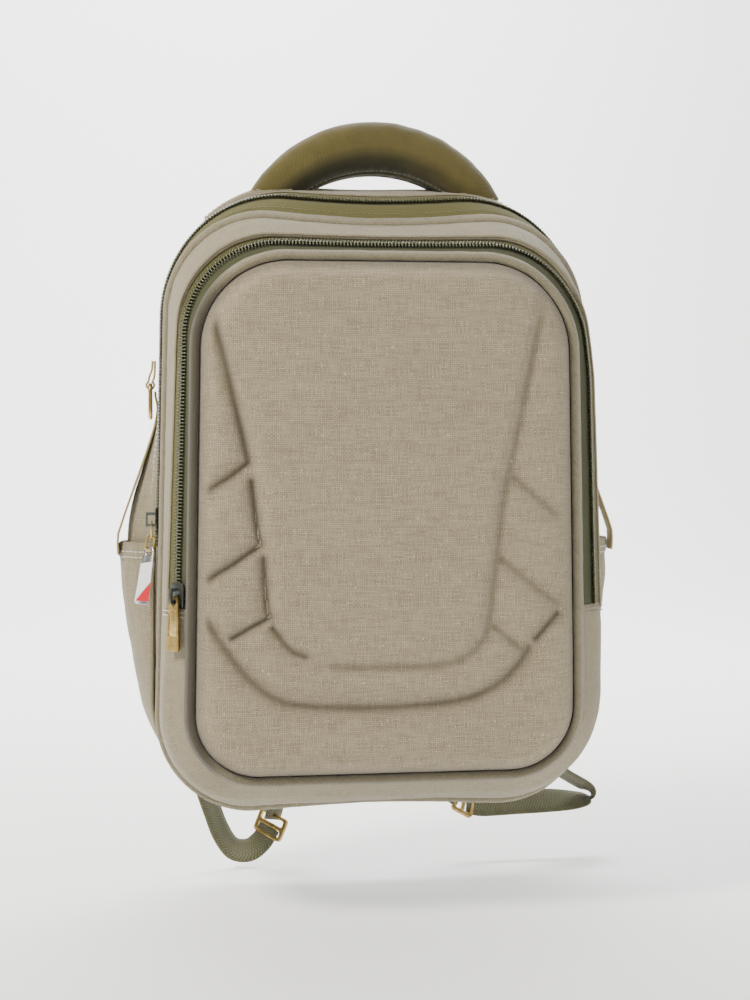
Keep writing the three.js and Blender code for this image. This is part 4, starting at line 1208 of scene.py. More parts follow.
def fold_edge(name, depth, cut, body, overhang=0.0):
    """The folded edge of canvas along a tape: a low rounded ridge."""
    profile = [(depth + 1.1 * math.cos(t), 0.15 + 0.75 * math.sin(t)) for t in np.linspace(0, 2 * math.pi, 9)[:-1]]

    def follow(grid, off):
        over = overhang * smooth_step(grid[..., 2], 300, 395)
        return lumpy(depth)(grid, off) - np.stack([0 * over, over, 0 * over], axis=-1)

    return hoop(name, profile, CANVAS, 360, "above", cut, follow, body=body, slot="canvas")


fold_edge("main_fold", tape_edge + 0.6, MAIN_ZIP_END - 2, "bag")
fold_edge("front_fold", front_tape_edge + 0.6, FRONT_ZIP_END - 2, "front_section", 3.2)
print("seams sewn")

# %% [markdown]
# ## Badge
# A small plate is riveted to the shield. It is a blank bar with round ends, a polished raised rim and a sunk field
# of grey-blue enamel.

# %% Badge
BADGE_X, BADGE_Z, BADGE_WIDE, BADGE_HIGH, BADGE_FACE = -6.0, 296.0, 54.0, 9.0, -155.4


def pill(wide, high, steps=14):
    r = high / 2
    turns = np.linspace(-math.pi / 2, math.pi / 2, steps)
    right = [((wide / 2 - r) + r * math.cos(t), r * math.sin(t)) for t in turns]
    return np.array(right + [(-x, -z) for x, z in right])


def facing_out(name, points, faces, finish, **settings):
    """A closed piece whose faces are turned outwards."""
    mesh = bpy.data.meshes.new(name)
    mesh.from_pydata(points, [], faces)
    body = bmesh.new()
    body.from_mesh(mesh)
    bmesh.ops.recalc_face_normals(body, faces=body.faces)
    body.to_mesh(mesh)
    body.free()
    return finished(name, mesh, finish, **settings)


def stacked(name, loops, finish, world=to_frame, **settings):
    """A closed piece from loops of points in millimetres, joined one after another, with both ends filled."""
    return facing_out(name, world(np.vstack(loops)), tube_faces(len(loops), len(loops[0])), finish, **settings)


def pill_loop(inset, depth):
    loop = pill(BADGE_WIDE - 2 * inset, BADGE_HIGH - 2 * inset)
    return np.column_stack([loop[:, 0] + BADGE_X, np.full(len(loop), depth), loop[:, 1] + BADGE_Z])


rim = [(0.1, -153.2), (0.1, -154.6), (0.45, -155.2), (1.0, BADGE_FACE), (1.35, -155.2), (1.5, -154.5), (2.2, -154.45)]
stacked("badge_plate", [pill_loop(i, d) for i, d in rim], SILVER, body="front_flap", stands_for=["badge"],
        slot="silver")
field = [(1.45, -154.3), (1.45, -154.7), (1.6, -154.85), (2.6, -154.95)]
stacked("badge_field", [pill_loop(i, d) for i, d in field], GREY_ENAMEL, body="front_flap", slot="silver")
print("badge made")

# %% [markdown]
# ## Carry handle
# The grip is a padded arch with a sleeve of brushed cloth. A superellipse gives it flat flanks and round shoulders,
# and the padding thins towards the feet. Slow ripples and short creases at the inside of the bend keep it soft. Its
# lower, palm side is drawn darker as painted shade. A strip of webbing closes the sleeve underneath, in the darker
# tape, which is painted shade under the grip, and a tan patch holds each foot.

# %% Handle
HANDLE_X, ARCH_R, ARCH_Z, ARCH_HALF = 5.0, 97.2, 374.8, math.radians(55.4)
GRIP_HIGH, GRIP_WIDE, GRIP_POWER = 37.6, 31.6, 2 / 2.7
HANDLE_Y = -HANDLE_DEPTH


def arch_point(f, out, across):
    """A point on the arch: f from -1 at the left foot to 1 at the right, out from its centre line, and across."""
    a = f * ARCH_HALF
    radius = ARCH_R + out
    return HANDLE_X + radius * math.sin(a), HANDLE_Y + across, ARCH_Z + radius * math.cos(a)


def fullness(f):
    """The padding thins towards the feet."""
    return 1 - 0.3 * f * f


def grip_section(f, steps=32):
    full = fullness(f)
    loop = []
    for k in range(steps):
        t = 2 * math.pi * k / steps
        c, s = math.cos(t), math.sin(t)
        out = math.copysign(abs(c) ** GRIP_POWER, c) * GRIP_HIGH / 2 * full
        across = math.copysign(abs(s) ** GRIP_POWER, s) * GRIP_WIDE / 2 * full
        crease = max(0.0, -c) ** 2 * math.sin(f * 55) * 0.22
        loop.append(arch_point(f, out * 0.98 - crease, across))
    return loop


grip_rows = np.array([grip_section(f) for f in np.linspace(-1, 1, 110)])
grip_grid = grip_rows.transpose(1, 0, 2)
centre = grip_grid.mean(0, keepdims=True)
swell = ripple(grip_grid, 26, 1.5) * 0.022 + ripple(grip_grid, 9, 2.5) * 0.008
grip_grid = grip_grid + (grip_grid - centre) * swell[..., None]


def underside(grid):
    """Painted shade: the lower, palm side of the grip is drawn darker, where shade falls, less so towards the right.
    """
    middle = grid.mean(0)
    outward_part = grid - middle
    reach = np.linalg.norm(outward_part, axis=-1) + 1e-6
    spoke = middle - (HANDLE_X, 0, middle[:, 2].min() - 30)
    spoke[:, 1] = 0
    spoke /= np.linalg.norm(spoke, axis=1)[:, None]
    facing = (outward_part * spoke).sum(-1) / reach
    return 0.8 * (1 - smooth_step(facing, -0.55, -0.05)) * (1 - 0.6 * smooth_step(grid[..., 0], 10, 70))


grip = shell("handle_sleeve", grip_grid[::-1], HANDLE_CLOTH, body="carry_handle", stands_for=["handle_grip"],
             slot="handle_cloth", pressed=underside)


def strip_on(name, line, across, width, thick, finish, rounding=0.35, wave=0.0, **settings):
    """A woven strip along a line of centres, with one direction across it or one at each. Its edges are rounded."""
    line = np.asarray(line, float)
    across = np.broadcast_to(np.asarray(across, float), line.shape)
    along = np.gradient(line, axis=0)
    along /= np.linalg.norm(along, axis=1)[:, None]
    across = across - (across * along).sum(1)[:, None] * along
    across /= np.linalg.norm(across, axis=1)[:, None]
    face = np.cross(along, across)
    half, t = width / 2, thick / 2
    profile = [(-half, -t * 0.3), (-half + rounding, -t), (-half * 0.5, -t), (0, -t), (half * 0.5, -t),
               (half - rounding, -t), (half, -t * 0.3), (half, t * 0.3), (half - rounding, t), (half * 0.5, t),
               (0, t), (-half * 0.5, t), (-half + rounding, t), (-half, t * 0.3)]
    grid = np.array([line + across * a + face * f for a, f in profile])
    grid = grid + face * (ripple(grid, 24, 1.0) * wave)[..., None]
    return shell(name, grid, finish, **settings)


# The strip under the grip takes the darker tape finish, which is painted shade under the handle.
under = [arch_point(f, -GRIP_HIGH / 2 * fullness(f) * 0.985, 0) for f in np.linspace(-0.96, 0.96, 70)]
strip_on("handle_underside", under, (0, 1, 0), 17, 1.2, DARK_TAPE, body="carry_handle", slot="handle_cloth")
for side in (-1, 1):
    seam = [arch_point(f, -GRIP_HIGH / 2 * fullness(f) * 0.93, side * 10.5 * fullness(f))
            for f in np.linspace(-0.95, 0.95, 90)]
    off = [(-math.sin(f * ARCH_HALF), side * 0.5, -math.cos(f * ARCH_HALF)) for f in np.linspace(-0.95, 0.95, 90)]
    repeat("handle_seam_" + ("rear" if side > 0 else "front"), [(seam, off)], 3.4, SMALL_STITCH, OLIVE_THREAD,
           "carry_handle")
print("handle made")

# %% Handle patches
PATCH_FROM, PATCH_TO, PATCH_HALF = 60.0, 122.0, 12.5


def top_height(x, depth):
    ring = half_outline(depth, 0)
    over = ring[len(ring) // 2:][::-1]
    return np.interp(abs(x), over[:, 0], over[:, 1])


def top_cloth(name, x_range, y_range, finish, thick=1.8, puff=0.8, steps=(26, 12), **settings):
    """A patch of cloth on top of the bag, closed, with softly rounded edges."""
    xs, ys = np.linspace(*x_range, steps[0]), np.linspace(*y_range, steps[1])
    rows = []
    for y in ys:
        row = []
        for x in xs:
            edge = max(0.0, min(y - y_range[1], y_range[0] - y, x - x_range[0], x_range[1] - x))
            lift = thick * min(1, 0.35 + edge / 1.6) + puff * (1 - math.exp(-edge / 4)) * 0.5
            row.append((x, y, top_height(x, y) + lift))
        rows.append(row)
    top = np.array(rows)
    low = np.array([[(x, y, top_height(x, y) - 0.2) for x in xs] for y in ys])
    return shell(name, np.vstack([top, low[::-1]]), finish, **settings)


for side, sign in (("left", -1), ("right", 1)):
    xs = sorted((HANDLE_X + sign * PATCH_FROM, HANDLE_X + sign * PATCH_TO))
    top_cloth("handle_patch_" + side, xs, (HANDLE_Y + PATCH_HALF, HANDLE_Y - PATCH_HALF), CANVAS, 1.8, 1.2,
              body="bag", stands_for=["handle_anchor_" + side], slot="khaki_webbing")
    rows = []
    for dy in (-10.3, -8.0, 8.0, 10.3):
        y = HANDLE_Y + dy
        line = [(x, y, top_height(x, y) + 2.45) for x in np.linspace(xs[0] + 2, xs[1] - 2, 20)]
        rows.append((line, [(0.0, 0.0, 1.0)] * len(line)))
    repeat("handle_patch_stitches_" + side, rows, 3.6, STITCH, TAN_THREAD, "bag")
print("handle patches made")

# %% [markdown]
# ## Bottle pockets
# Each side has an open pocket of single canvas. Its mouth is gathered a little by the hem, so it stands off the side
# in an arc. The pocket is a sheet that starts and ends on the side wall. The hem is the same sheet folded over and
# sewn down with two rows of pale stitches.

# %% Pockets
POCKET_BACK, POCKET_FRONT, POCKET_LOW, POCKET_HEM, POCKET_TOP = -14.0, -67.0, 40.0, 181.0, 192.0
POCKET_BULGE = {"left": 11.0, "right": 12.0}
SIDES = (("left", -1), ("right", 1))


def side_wall(y, z):
    """How far the side wall is from the middle of the bag."""
    ring = half_outline(y, 0)
    rising = ring[ring[:, 0] > 60]
    keep = np.r_[True, np.diff(np.maximum.accumulate(rising[:, 1])) > 0]
    return float(np.interp(z, rising[keep, 1], rising[keep, 0]))


def pocket_point(side, sign, f, z, off):
    height = (z - POCKET_LOW) / (POCKET_TOP - POCKET_LOW)
    bulge = POCKET_BULGE[side] * math.sin(math.pi / 2 * max(height, 0) ** 0.8)
    y = POCKET_FRONT + f * (POCKET_BACK - POCKET_FRONT)
    x = side_wall(y, z) + 0.9 + off + bulge * math.sin(math.pi * f) ** 0.7
    gather = math.sin(f * 40 + z * 0.01) * 0.35 * height**3
    return sign * (x + gather), y, z


def pocket_cloth(side, sign, heights, inner, outer, columns=44):
    """Columns run up the pocket, rows round it: the outer face from the back to the front and the inner face back."""
    shares = np.linspace(1, 0, columns)
    outside = [[pocket_point(side, sign, f, z, outer(z)) for z in heights] for f in shares]
    within = [[pocket_point(side, sign, f, z, inner) for z in heights] for f in shares[::-1]]
    grid = np.array(outside + within)
    slackness = ripple(grid, 48, 3.0 + sign) * 1.1 + ripple(grid, 20, 8.0 + sign) * 0.35
    free = np.sin(np.pi * (grid[..., 1] - POCKET_FRONT) / (POCKET_BACK - POCKET_FRONT)).clip(0, 1)
    grid[..., 0] += sign * slackness * free * smooth_step(grid[..., 2], POCKET_LOW, POCKET_LOW + 40) * 0.8
    return grid if sign < 0 else grid[::-1]


def hem_thickness(z):
    t = (z - POCKET_HEM) / (POCKET_TOP - POCKET_HEM)
    return 2.3 + 1.1 * math.sin(math.pi * min(max(t, 0), 1)) ** 0.4


for side, sign in SIDES:
    heights = np.linspace(POCKET_LOW, POCKET_HEM + 1, 52)
    cloth = pocket_cloth(side, sign, heights, 0.2, lambda z: 2.2)
    shell("bottle_pocket_" + side, cloth, CANVAS, body="bag", stands_for=["side_pocket_" + side], slot="canvas")
    heights = np.linspace(POCKET_HEM - 1, POCKET_TOP, 12)
    hem = pocket_cloth(side, sign, heights, 0.0, hem_thickness)
    shell("pocket_hem_roll_" + side, hem, CANVAS, body="bag", stands_for=["pocket_hem_" + side], slot="canvas")
    rows = []
    for z in (POCKET_HEM + 0.6, POCKET_HEM + 4.6):
        ring = pocket_cloth(side, sign, [z, z + 0.5], 0.0, lambda h: hem_thickness(h) + 0.25)
        line = ring[:44, 0] if sign < 0 else ring[44:, 0][::-1]
        line = line[2:-2]
        along = np.gradient(line, axis=0)
        behind = np.sign(line[:, 1] - (POCKET_FRONT + POCKET_BACK) / 2)
        off = np.column_stack([np.abs(along[:, 1]) * sign, behind * np.abs(along[:, 0]), 0 * line[:, 2]])
        rows.append((line, off))
    repeat("hem_stitches_" + side, rows, 3.8, STITCH, WHITE_THREAD, "bag")
print("pockets made")

# %% [markdown]
# ## Side rings and straps
# A metal ring hangs in a folded tab on each side, and a narrow gold webbing strip runs from the tab down to the
# pocket's hem. Rings and links are closed wires, so one helper sweeps a round section along a closed path.

# %% Wires and rings
RING_Y, RING_Z, RING_HIGH, RING_DEEP, RING_WIRE = -46.0, 291.0, 26.0, 20.0, 1.5


def rounded_path(wide, high, radius, corner_steps=8):
    """A closed rectangle with round corners about the origin."""
    path = []
    for cx, cy, start in ((1, -1, -90), (1, 1, 0), (-1, 1, 90), (-1, -1, 180)):
        for angle in np.radians(np.linspace(start, start + 90, corner_steps)):
            path.append((cx * (wide / 2 - radius) + radius * math.cos(angle),
                         cy * (high / 2 - radius) + radius * math.sin(angle)))
    return np.array(path)


def wire_loop(name, path, across, radius, finish, steps=12, **settings):
    """A round wire along a closed path of points. across is the direction off the path's plane."""
    path = np.asarray(path, float)
    along = np.roll(path, -1, 0) - np.roll(path, 1, 0)
    along /= np.linalg.norm(along, axis=1)[:, None]
    across = np.asarray(across, float)
    side = np.cross(along, across)
    turns = [2 * math.pi * k / steps for k in range(steps)]
    grid = np.array([path + radius * (math.cos(t) * side + math.sin(t) * across) for t in turns])
    points, faces = to_frame(grid.reshape(-1, 3)), tube_faces(steps, len(path), closed=True)
    return facing_out(name, points, faces, finish, **settings)


for side, sign in SIDES:
    box_low, box_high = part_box("side_ring_" + side)
    x = (box_low[0] + box_high[0]) * 500
    ring = rounded_path(RING_HIGH - 3, RING_DEEP - 3, 4.5)
    path = [(x, RING_Y + b, RING_Z + a) for a, b in ring]
    wire_loop("ring_" + side, path, (1, 0, 0), RING_WIRE, BRONZE, body="side_ring_" + side,
              stands_for=["side_ring_" + side], slot="bronze")
    top = RING_Z + RING_HIGH / 2 - RING_WIRE
    turn = [(x + sign * 2.7 * math.sin(a), RING_Y, top + 2.7 * -math.cos(a)) for a in np.linspace(-2.6, 2.6, 15)]
    down = [(x - sign * dx, RING_Y, top + dz) for dx, dz in ((3.4, 17), (3.2, 10), (2.6, 5))]
    up = [(x - sign * dx, RING_Y, top + dz) for dx, dz in ((-0.6, 6), (1.2, 11), (1.7, 17))]
    strip_on("ring_tab_" + side, spline(down + turn + up, 3), (0, 1, 0), 12.6, 1.5, KHAKI_WEBBING,
             body="bag", stands_for=["side_tab_" + side], slot="khaki_webbing")
    surface = max(side_wall(RING_Y, RING_Z - 20), side_wall(RING_Y, RING_Z))
    hem_x = max(abs(pocket_point(side, sign, f, POCKET_TOP, 2.8)[0]) for f in np.linspace(0, 1, 20)) + 1.3
    stations = [(surface + 1.3, RING_Z + 7), (surface + 1.5, RING_Z - 16), (hem_x - 3, POCKET_TOP + 14),
                (hem_x, POCKET_TOP + 3), (hem_x, POCKET_HEM + 2)]
    line = spline([(sign * sx, RING_Y, z) for sx, z in stations], 10)
    strip_on("side_strip_" + side, line, (0, 1, 0), 12, 1.6, KHAKI_WEBBING,
             wave=0.15, body="bag", stands_for=["side_strap_" + side], slot="khaki_webbing")
print("rings and tabs made")

# %% [markdown]
# ## Back pads and shoulder straps
# These are foam under spacer mesh and canvas. Each starts as a slightly smaller block with round corners. It is
# remeshed into even voxels, and Cloth with pressure inflates it for twenty frames, so the cover wrinkles where the
# foam pulls it. Points may only move a few millimetres, so a pad stays in its place. Canvas binding covers the edge.

# %% Padded pieces
VOXEL, PUFF_FRAMES, PUFF_MOST = 4.5, 20, 4.0


def puffed(piece, pressure=3.0, most=PUFF_MOST):
    """Inflates a padded piece with Cloth and caps how far each point moves."""
    scene = bpy.context.scene
    remesh = piece.modifiers.new("remesh", "REMESH")
    remesh.mode, remesh.voxel_size = "VOXEL", VOXEL * 0.001
    settle(piece)
    rest = np.array([v.co for v in piece.data.vertices])
    cloth = piece.modifiers.new("cloth", "CLOTH")
    facts = cloth.settings
    facts.use_pressure, facts.uniform_pressure_force = True, pressure
    facts.effector_weights.gravity = 0
    facts.tension_stiffness = facts.compression_stiffness = 25
    facts.bending_stiffness = 4
    for frame_number in range(1, PUFF_FRAMES + 1):
        scene.frame_set(frame_number)
    settle(piece)
    scene.frame_set(1)
    moved = np.array([v.co for v in piece.data.vertices]) - rest
    far = np.linalg.norm(moved, axis=1)
    moved *= np.minimum(1, most * 0.001 / np.maximum(far, 1e-9))[:, None]
    piece.data.vertices.foreach_set("co", (rest + moved).astype(np.float32).ravel())
    smoother = piece.modifiers.new("subdivide", "SUBSURF")
    smoother.levels = smoother.render_levels = 1
    settle(piece)
    piece.data.polygons.foreach_set("use_smooth", [True] * len(piece.data.polygons))
    return piece


def settle(piece):
    """Applies a piece's modifiers."""
    bpy.context.view_layer.update()
    evaluated = piece.evaluated_get(bpy.context.evaluated_depsgraph_get())
    mesh = bpy.data.meshes.new_from_object(evaluated)
    piece.modifiers.clear()
    old, piece.data = piece.data, mesh
    mesh.name = old.name + "_made"


def flat_uv(piece):
    """A UV map that is the piece's own front view, in metres, for a piece whose map a remesh has removed."""
    mesh = piece.data
    layer = mesh.uv_layers.get("cloth") or mesh.uv_layers.new(name="cloth")
    points = np.array([v.co for v in mesh.vertices])
    corner = np.array([loop.vertex_index for loop in mesh.loops])
    layer.data.foreach_set("uv", points[corner][:, (0, 2)].astype(np.float32).ravel())


def flat_loop(x, z, wide, high, radius, depth, steps=9):
    """A closed rectangle with round corners that stands at one depth."""
    path = rounded_path(wide, high, radius, steps) + (x, z)
    return np.column_stack([path[:, 0], np.full(len(path), depth), path[:, 1]])


def pad_loops(x, z, wide, high, radius, depth, thick):
    """Loops of a pillow lying on the back: out to its edge, over its crown and in to the middle."""
    loops = []
    for inset, lift in ((3.0, 0.2), (1.2, 0.9), (0.6, 2.4), (1.6, 4.0), (4.5, 5.4), (10, 6.4), (18, thick)):
        corner = max(radius - inset * 0.6, 3)
        loops.append(flat_loop(x, z, wide - 2 * inset, high - 2 * inset, corner, depth + lift))
    return loops


BACK_Y = 0.3
for name, x, z, wide, high in (("back_pad_left", -62, 268, 92, 190), ("back_pad_right", 62, 268, 92, 190),
                               ("lumbar_pad", 0, 106, 200, 84)):
    pad = stacked(name + "_cushion", pad_loops(x, z, wide, high, 18, BACK_Y, 6.6), AIR_MESH, stands_for=[name],
                  slot="air_mesh")
    puffed(pad, 2.5, 1.6)
    flat_uv(pad)
    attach(pad, "bag")
    path = flat_loop(x, z, wide - 1, high - 1, 17.5, BACK_Y + 2.0)
    wire_loop(name + "_binding", path, (0, 1, 0), 1.9, CANVAS_PIPING, 10, body="bag", slot="canvas")
print("back pads made")

# %% Shoulder straps
#             across depth height width
STRAP_LINE = [(-46, 7.5, 402, 58), (-50, 15, 372, 60), (-60, 17, 320, 62), (-72, 17, 260, 60), (-80, 17, 200, 56),
              (-80, 17, 150, 50), (-74, 17, 112, 42), (-68, 17, 88, 34)]
STRAP_THICK = 9.0


def strap_loop(sign, centre, along, width, thick, steps=28):
    """One closed section of a strap: flat faces and fully rounded edges."""
    loop = []
    for k in range(steps):
        t = 2 * math.pi * k / steps
        c, s = math.cos(t), math.sin(t)
        u = math.copysign(abs(c) ** 0.45, c) * width / 2
        v = math.copysign(abs(s) ** 0.7, s) * thick / 2
        loop.append((sign * (centre[0] - along[1] * u), centre[1] + v, centre[2] + along[0] * u))
    return loop


strap_centres = spline([(x, y, z) for x, y, z, _ in STRAP_LINE], 8)
strap_widths = spline([(w, 0, 0) for *_, w in STRAP_LINE], 8)[:, 0]
alongs = np.gradient(strap_centres[:, (0, 2)], axis=0)
alongs /= np.linalg.norm(alongs, axis=1)[:, None]


def strap_edge(sign, turn, inset, lift, part):
    """A line along one edge of a strap, inset from it and lifted off the strap's middle."""
    return [(sign * (c[0] - a[1] * turn * (w / 2 - inset)), c[1] + lift, c[2] + a[0] * turn * (w / 2 - inset))
            for c, a, w in zip(strap_centres[part], alongs[part], strap_widths[part])]


for side, sign in (("left", 1), ("right", -1)):
    body = "shoulder_strap_" + side
    loops = []
    for i, (centre, along, width) in enumerate(zip(strap_centres, alongs, strap_widths)):
        share = i / (len(strap_centres) - 1)
        thick = STRAP_THICK * (0.45 + 0.55 * smooth_step(share, 0, 0.12)) * (1 - 0.35 * smooth_step(share, 0.93, 1))
        loops.append(strap_loop(sign, centre, along, width - 3, thick))
    strap = stacked(body + "_pad", loops, CANVAS, stands_for=[body], slot="canvas")
    puffed(strap, 2.5, 1.4)
    flat_uv(strap)
    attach(strap, body)
    rows = []
    for edge_name, turn in (("outer", 1), ("inner", -1)):
        strip_on(f"{body}_binding_{edge_name}", strap_edge(sign, turn, 1.2, 0, slice(4, None)), (0, 1, 0), 6.5, 2.4,
                 OLIVE_WEBBING, 1.0, body=body, slot="olive_webbing")
    for face in (1, -1):
        for turn in (1, -1):
            line = strap_edge(sign, turn, 6, face * 4.75, slice(6, -3))
            rows.append((line, [(0.0, float(face), 0.0)] * len(line)))
    repeat(body + "_stitches", rows, 4.0, STITCH, TAN_THREAD, body)
    for i, height in enumerate((330, 240)):
        at = np.array([np.interp(-height, -strap_centres[:, 2], column) for column in strap_centres.T])
        width = np.interp(-height, -strap_centres[:, 2], strap_widths)
        line = [(sign * at[0] + dx, at[1] + 4.4 + 1.6 * (1 - (2 * dx / width) ** 6), at[2] + dx * 0.02)
                for dx in np.linspace(-width / 2 + 2, width / 2 - 2, 14)]
        strip_on(f"{body}_keeper_{i + 1}", line, (0, 0, 1), 16, 1.5, OLIVE_WEBBING, body=body,
                 slot="olive_webbing")

# %% Yoke
YOKE_Z, YOKE_WIDE, YOKE_HIGH = 398, 150, 44
yoke_loops = []
for inset, lift in ((2.0, 0.0), (0.3, 0.4), (0.0, 1.4), (0.8, 2.4), (2.5, 3.0), (8, 3.2)):
    corner = 12 - inset * 0.4
    yoke_loops.append(flat_loop(0, YOKE_Z, YOKE_WIDE - 2 * inset, YOKE_HIGH - 2 * inset, corner, BACK_Y + lift))
yoke = stacked("strap_yoke_patch", yoke_loops, CANVAS, body="bag", stands_for=["strap_yoke"], slot="canvas")
flat_uv(yoke)
rows = []
for inset in (3.5, 6.5):
    line = flat_loop(0, YOKE_Z, YOKE_WIDE - 2 * inset, YOKE_HIGH - 2 * inset, 9, BACK_Y + 3.25)
    line = np.vstack([line, line[:1]])
    rows.append((line, np.tile((0.0, 1.0, 0.0), (len(line), 1))))
repeat("yoke_stitches", rows, 4.0, STITCH, TAN_THREAD, "bag")
print("shoulder straps made")

# %% [markdown]
# ## Lower webbing
# A strip of webbing leaves a tab at each corner of the base, hangs in a slack loop below the bag, turns round the bar
# of an adjuster and comes back up to the end of the shoulder strap. Webbing is stiff across and limp along, so it
# turns edge-on slowly and never creases. It is a strip swept along a smooth line, with the direction across it given
# at each point, because a voxel remesh would lose anything so thin.

# %% Strips of webbing
WEBBING_WIDE, WEBBING_THICK = 20.0, 1.6
LOOPS = {
    "left": {
        "corner": (-129, 1, 52),
        "line": [((-125, 7, 30), (0.5, 1, 0.2)), ((-119, 11, 8), (0.7, 1, 0.2)), ((-111, 14, -15), (0.8, 1, 0.4)),
                 ((-104, 17, -34), (0.7, 1, 0.8)), ((-95, 18, -47), (0.3, 1, 1)), ((-83, 18, -49), (-0.2, 1, 1)),
                 ((-73, 18, -42), (-0.6, 1, 0.8)), ((-66.5, 17.5, -31), (-0.75, 0.9, 0.45))],
        "tail": [((-68, 17, 79.5), (1, 0, 0)), ((-63, 19, 50), (1, 0.3, 0)), ((-59, 19.5, 20), (0.8, 0.7, -0.2)),
                 ((-60, 19, 0), (0.75, 0.9, -0.45)), ((-62, 18.5, -15), (0.75, 0.9, -0.45)),
                 ((-65, 17.6, -26), (0.75, 0.9, -0.45))],
    },
    "right": {
        "corner": (129, 1, 52),
        "line": [((133, 8, 33), (-0.5, 1, 0.4)), ((143, 12, 17), (-0.4, 1, -0.3)), ((162, 16, 3), (-0.3, 1, -0.4)),
                 ((181, 18, -9), (-0.2, 1, -0.4)), ((185, 19, -17), (0.5, 1, 0)), ((174, 20, -19), (0, 1, 0.5)),
                 ((150, 21, -19), (0, 0.8, 1)), ((120, 22, -20), (0, 0.7, 1)), ((97, 21, -20), (0, 0.6, 1)),
                 ((86, 20, -17), (-0.3, 0.6, 0.95))],
        "tail": [((68, 17, 79.5), (1, 0, 0)), ((67, 19, 55), (1, 0, 0.2)), ((66, 20, 30), (0.9, 0.3, 0.3)),
                 ((68, 20, 8), (0.6, 0.5, 0.6)), ((74, 20, -7), (0.45, 0.6, 0.8)),
                 ((81.5, 20, -14), (0.45, 0.6, 0.8))],
    },
}


def strip_line(entries, per=8):
    return spline([c for c, _ in entries], per), spline([a for _, a in entries], per)


for side, sign in SIDES:
    facts = LOOPS[side]
    strap_body = "shoulder_strap_" + side
    line, across = strip_line(facts["line"])
    webbing_strip = strip_on("webbing_" + side, line, across, WEBBING_WIDE, WEBBING_THICK, OLIVE_WEBBING,
                             stands_for=["strap_webbing_" + side], slot="olive_webbing")
    first, last = facts["line"][0][0], facts["line"][-2][0]
    to_frame(first)
    to_frame(last)
    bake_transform(webbing_strip)
    route = [to_frame(point) for point in line[::2]] + [to_frame(line[-1])] * (len(line) % 2 == 0)
    loop_long = sum(math.dist(a, b) for a, b in zip(route, route[1:]))
    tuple(route[0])
    print("lower webbing", side, round(loop_long * 1000), "mm long")
    line, across = strip_line(facts["tail"])
    strip_on("strap_tail_strip_" + side, line, across, WEBBING_WIDE, WEBBING_THICK, OLIVE_WEBBING, body=strap_body,
             stands_for=["strap_tail_" + side], slot="olive_webbing")
    corner = np.array(facts["corner"], float)
    tab = [corner + (-sign * 8, 0.9, 22), corner + (0, 1.0, 4), corner + (0, 2.2, -9),
           np.array(first) + (0, -1.2, 4)]
    strip_on("corner_patch_" + side, spline(tab, 6), (1, 0, sign * 0.3), 24, 2.0, KHAKI_WEBBING, body="bag",
             stands_for=["corner_tab_" + side], slot="khaki_webbing")
    rows = [([corner + (x - sign * 6, 2.3, z) for x in np.linspace(-9, 9, 8)], [(0.0, 1.0, 0.0)] * 8)
            for z in (12, 17)]
    repeat("corner_stitches_" + side, rows, 3.6, STITCH, TAN_THREAD, "bag")
print("lower webbing made")

# %% [markdown]
# ## Metal parts
# The sliders, the link, the ring and the adjusters have the right shape in the frame already, but their edges are
# knife sharp. Cast and bent metal has soft edges that catch light. Each is a copy of the frame's solid, with its
# loose triangles merged first, then flat faces joined and a fine bevel on every sharp edge.


# %% Metal from the frame's solids
def soften(piece, bevel, segments, degrees):
    """A fine bevel, in millimetres, on every edge sharper than that."""
    edge = piece.modifiers.new("bevel", "BEVEL")
    edge.width, edge.segments = bevel * 0.001, segments
    edge.limit_method, edge.angle_limit = "ANGLE", math.radians(degrees)
    edge.harden_normals = True
    settle(piece)


def bevelled(node, name, finish, bevel, segments=2, **settings):
    mesh = frame["nodes"][node].data.copy()
    mesh.name = name
    mesh.materials.clear()
    body = bmesh.new()
    body.from_mesh(mesh)
    bmesh.ops.remove_doubles(body, verts=body.verts, dist=1e-5)
    bmesh.ops.dissolve_limit(body, angle_limit=math.radians(2), verts=body.verts, edges=body.edges)
    body.to_mesh(mesh)
    body.free()
    made = finished(name, mesh, finish, **settings)
    made.data.polygons.foreach_set("use_smooth", [True] * len(mesh.polygons))
    soften(made, bevel, segments, 32)
    return made


for node, name, finish, bevel, slot in (
    ("front_slider", "front_slider_body", GUNMETAL, 0.3, "gunmetal"),
    ("main_slider", "main_slider_body", GUNMETAL, 0.3, "gunmetal"),
    ("main_puller_link", "main_link", BRASS, 0.35, "bronze"),
    ("main_puller_ring", "main_ring", BRASS, 0.4, "bronze"),
    ("main_pull_tag", "tag_plate", SILVER, 0.25, "tag_enamel"),
    ("adjuster_left", "adjuster_slide_left", BRONZE, 0.5, "bronze"),
    ("adjuster_right", "adjuster_slide_right", BRONZE, 0.5, "bronze"),
):
    bevelled(node, name, finish, bevel, body=node, stands_for=[node], slot=slot)
print("metal parts made")

# %% [markdown]
# ### Front puller and tag
# The front puller is a tapered bar of antique brass. Booleans cut the eye at its top and the sunk field in its face.
# The tag on the main zip is a metal plate with two fields of enamel. Both hang in the frame of their own zip: across
# the zip, up along it, and out of the bag. The front slider is turned a little to face forward with its coil, and the
# tag hangs turned on its ring.


# %% Zip frames
def zip_frame(origin, up, out, across):
    columns = np.array([across, up, out], float).T
    return lambda points: np.asarray(points, float) * 0.001 @ columns.T + np.array(origin)


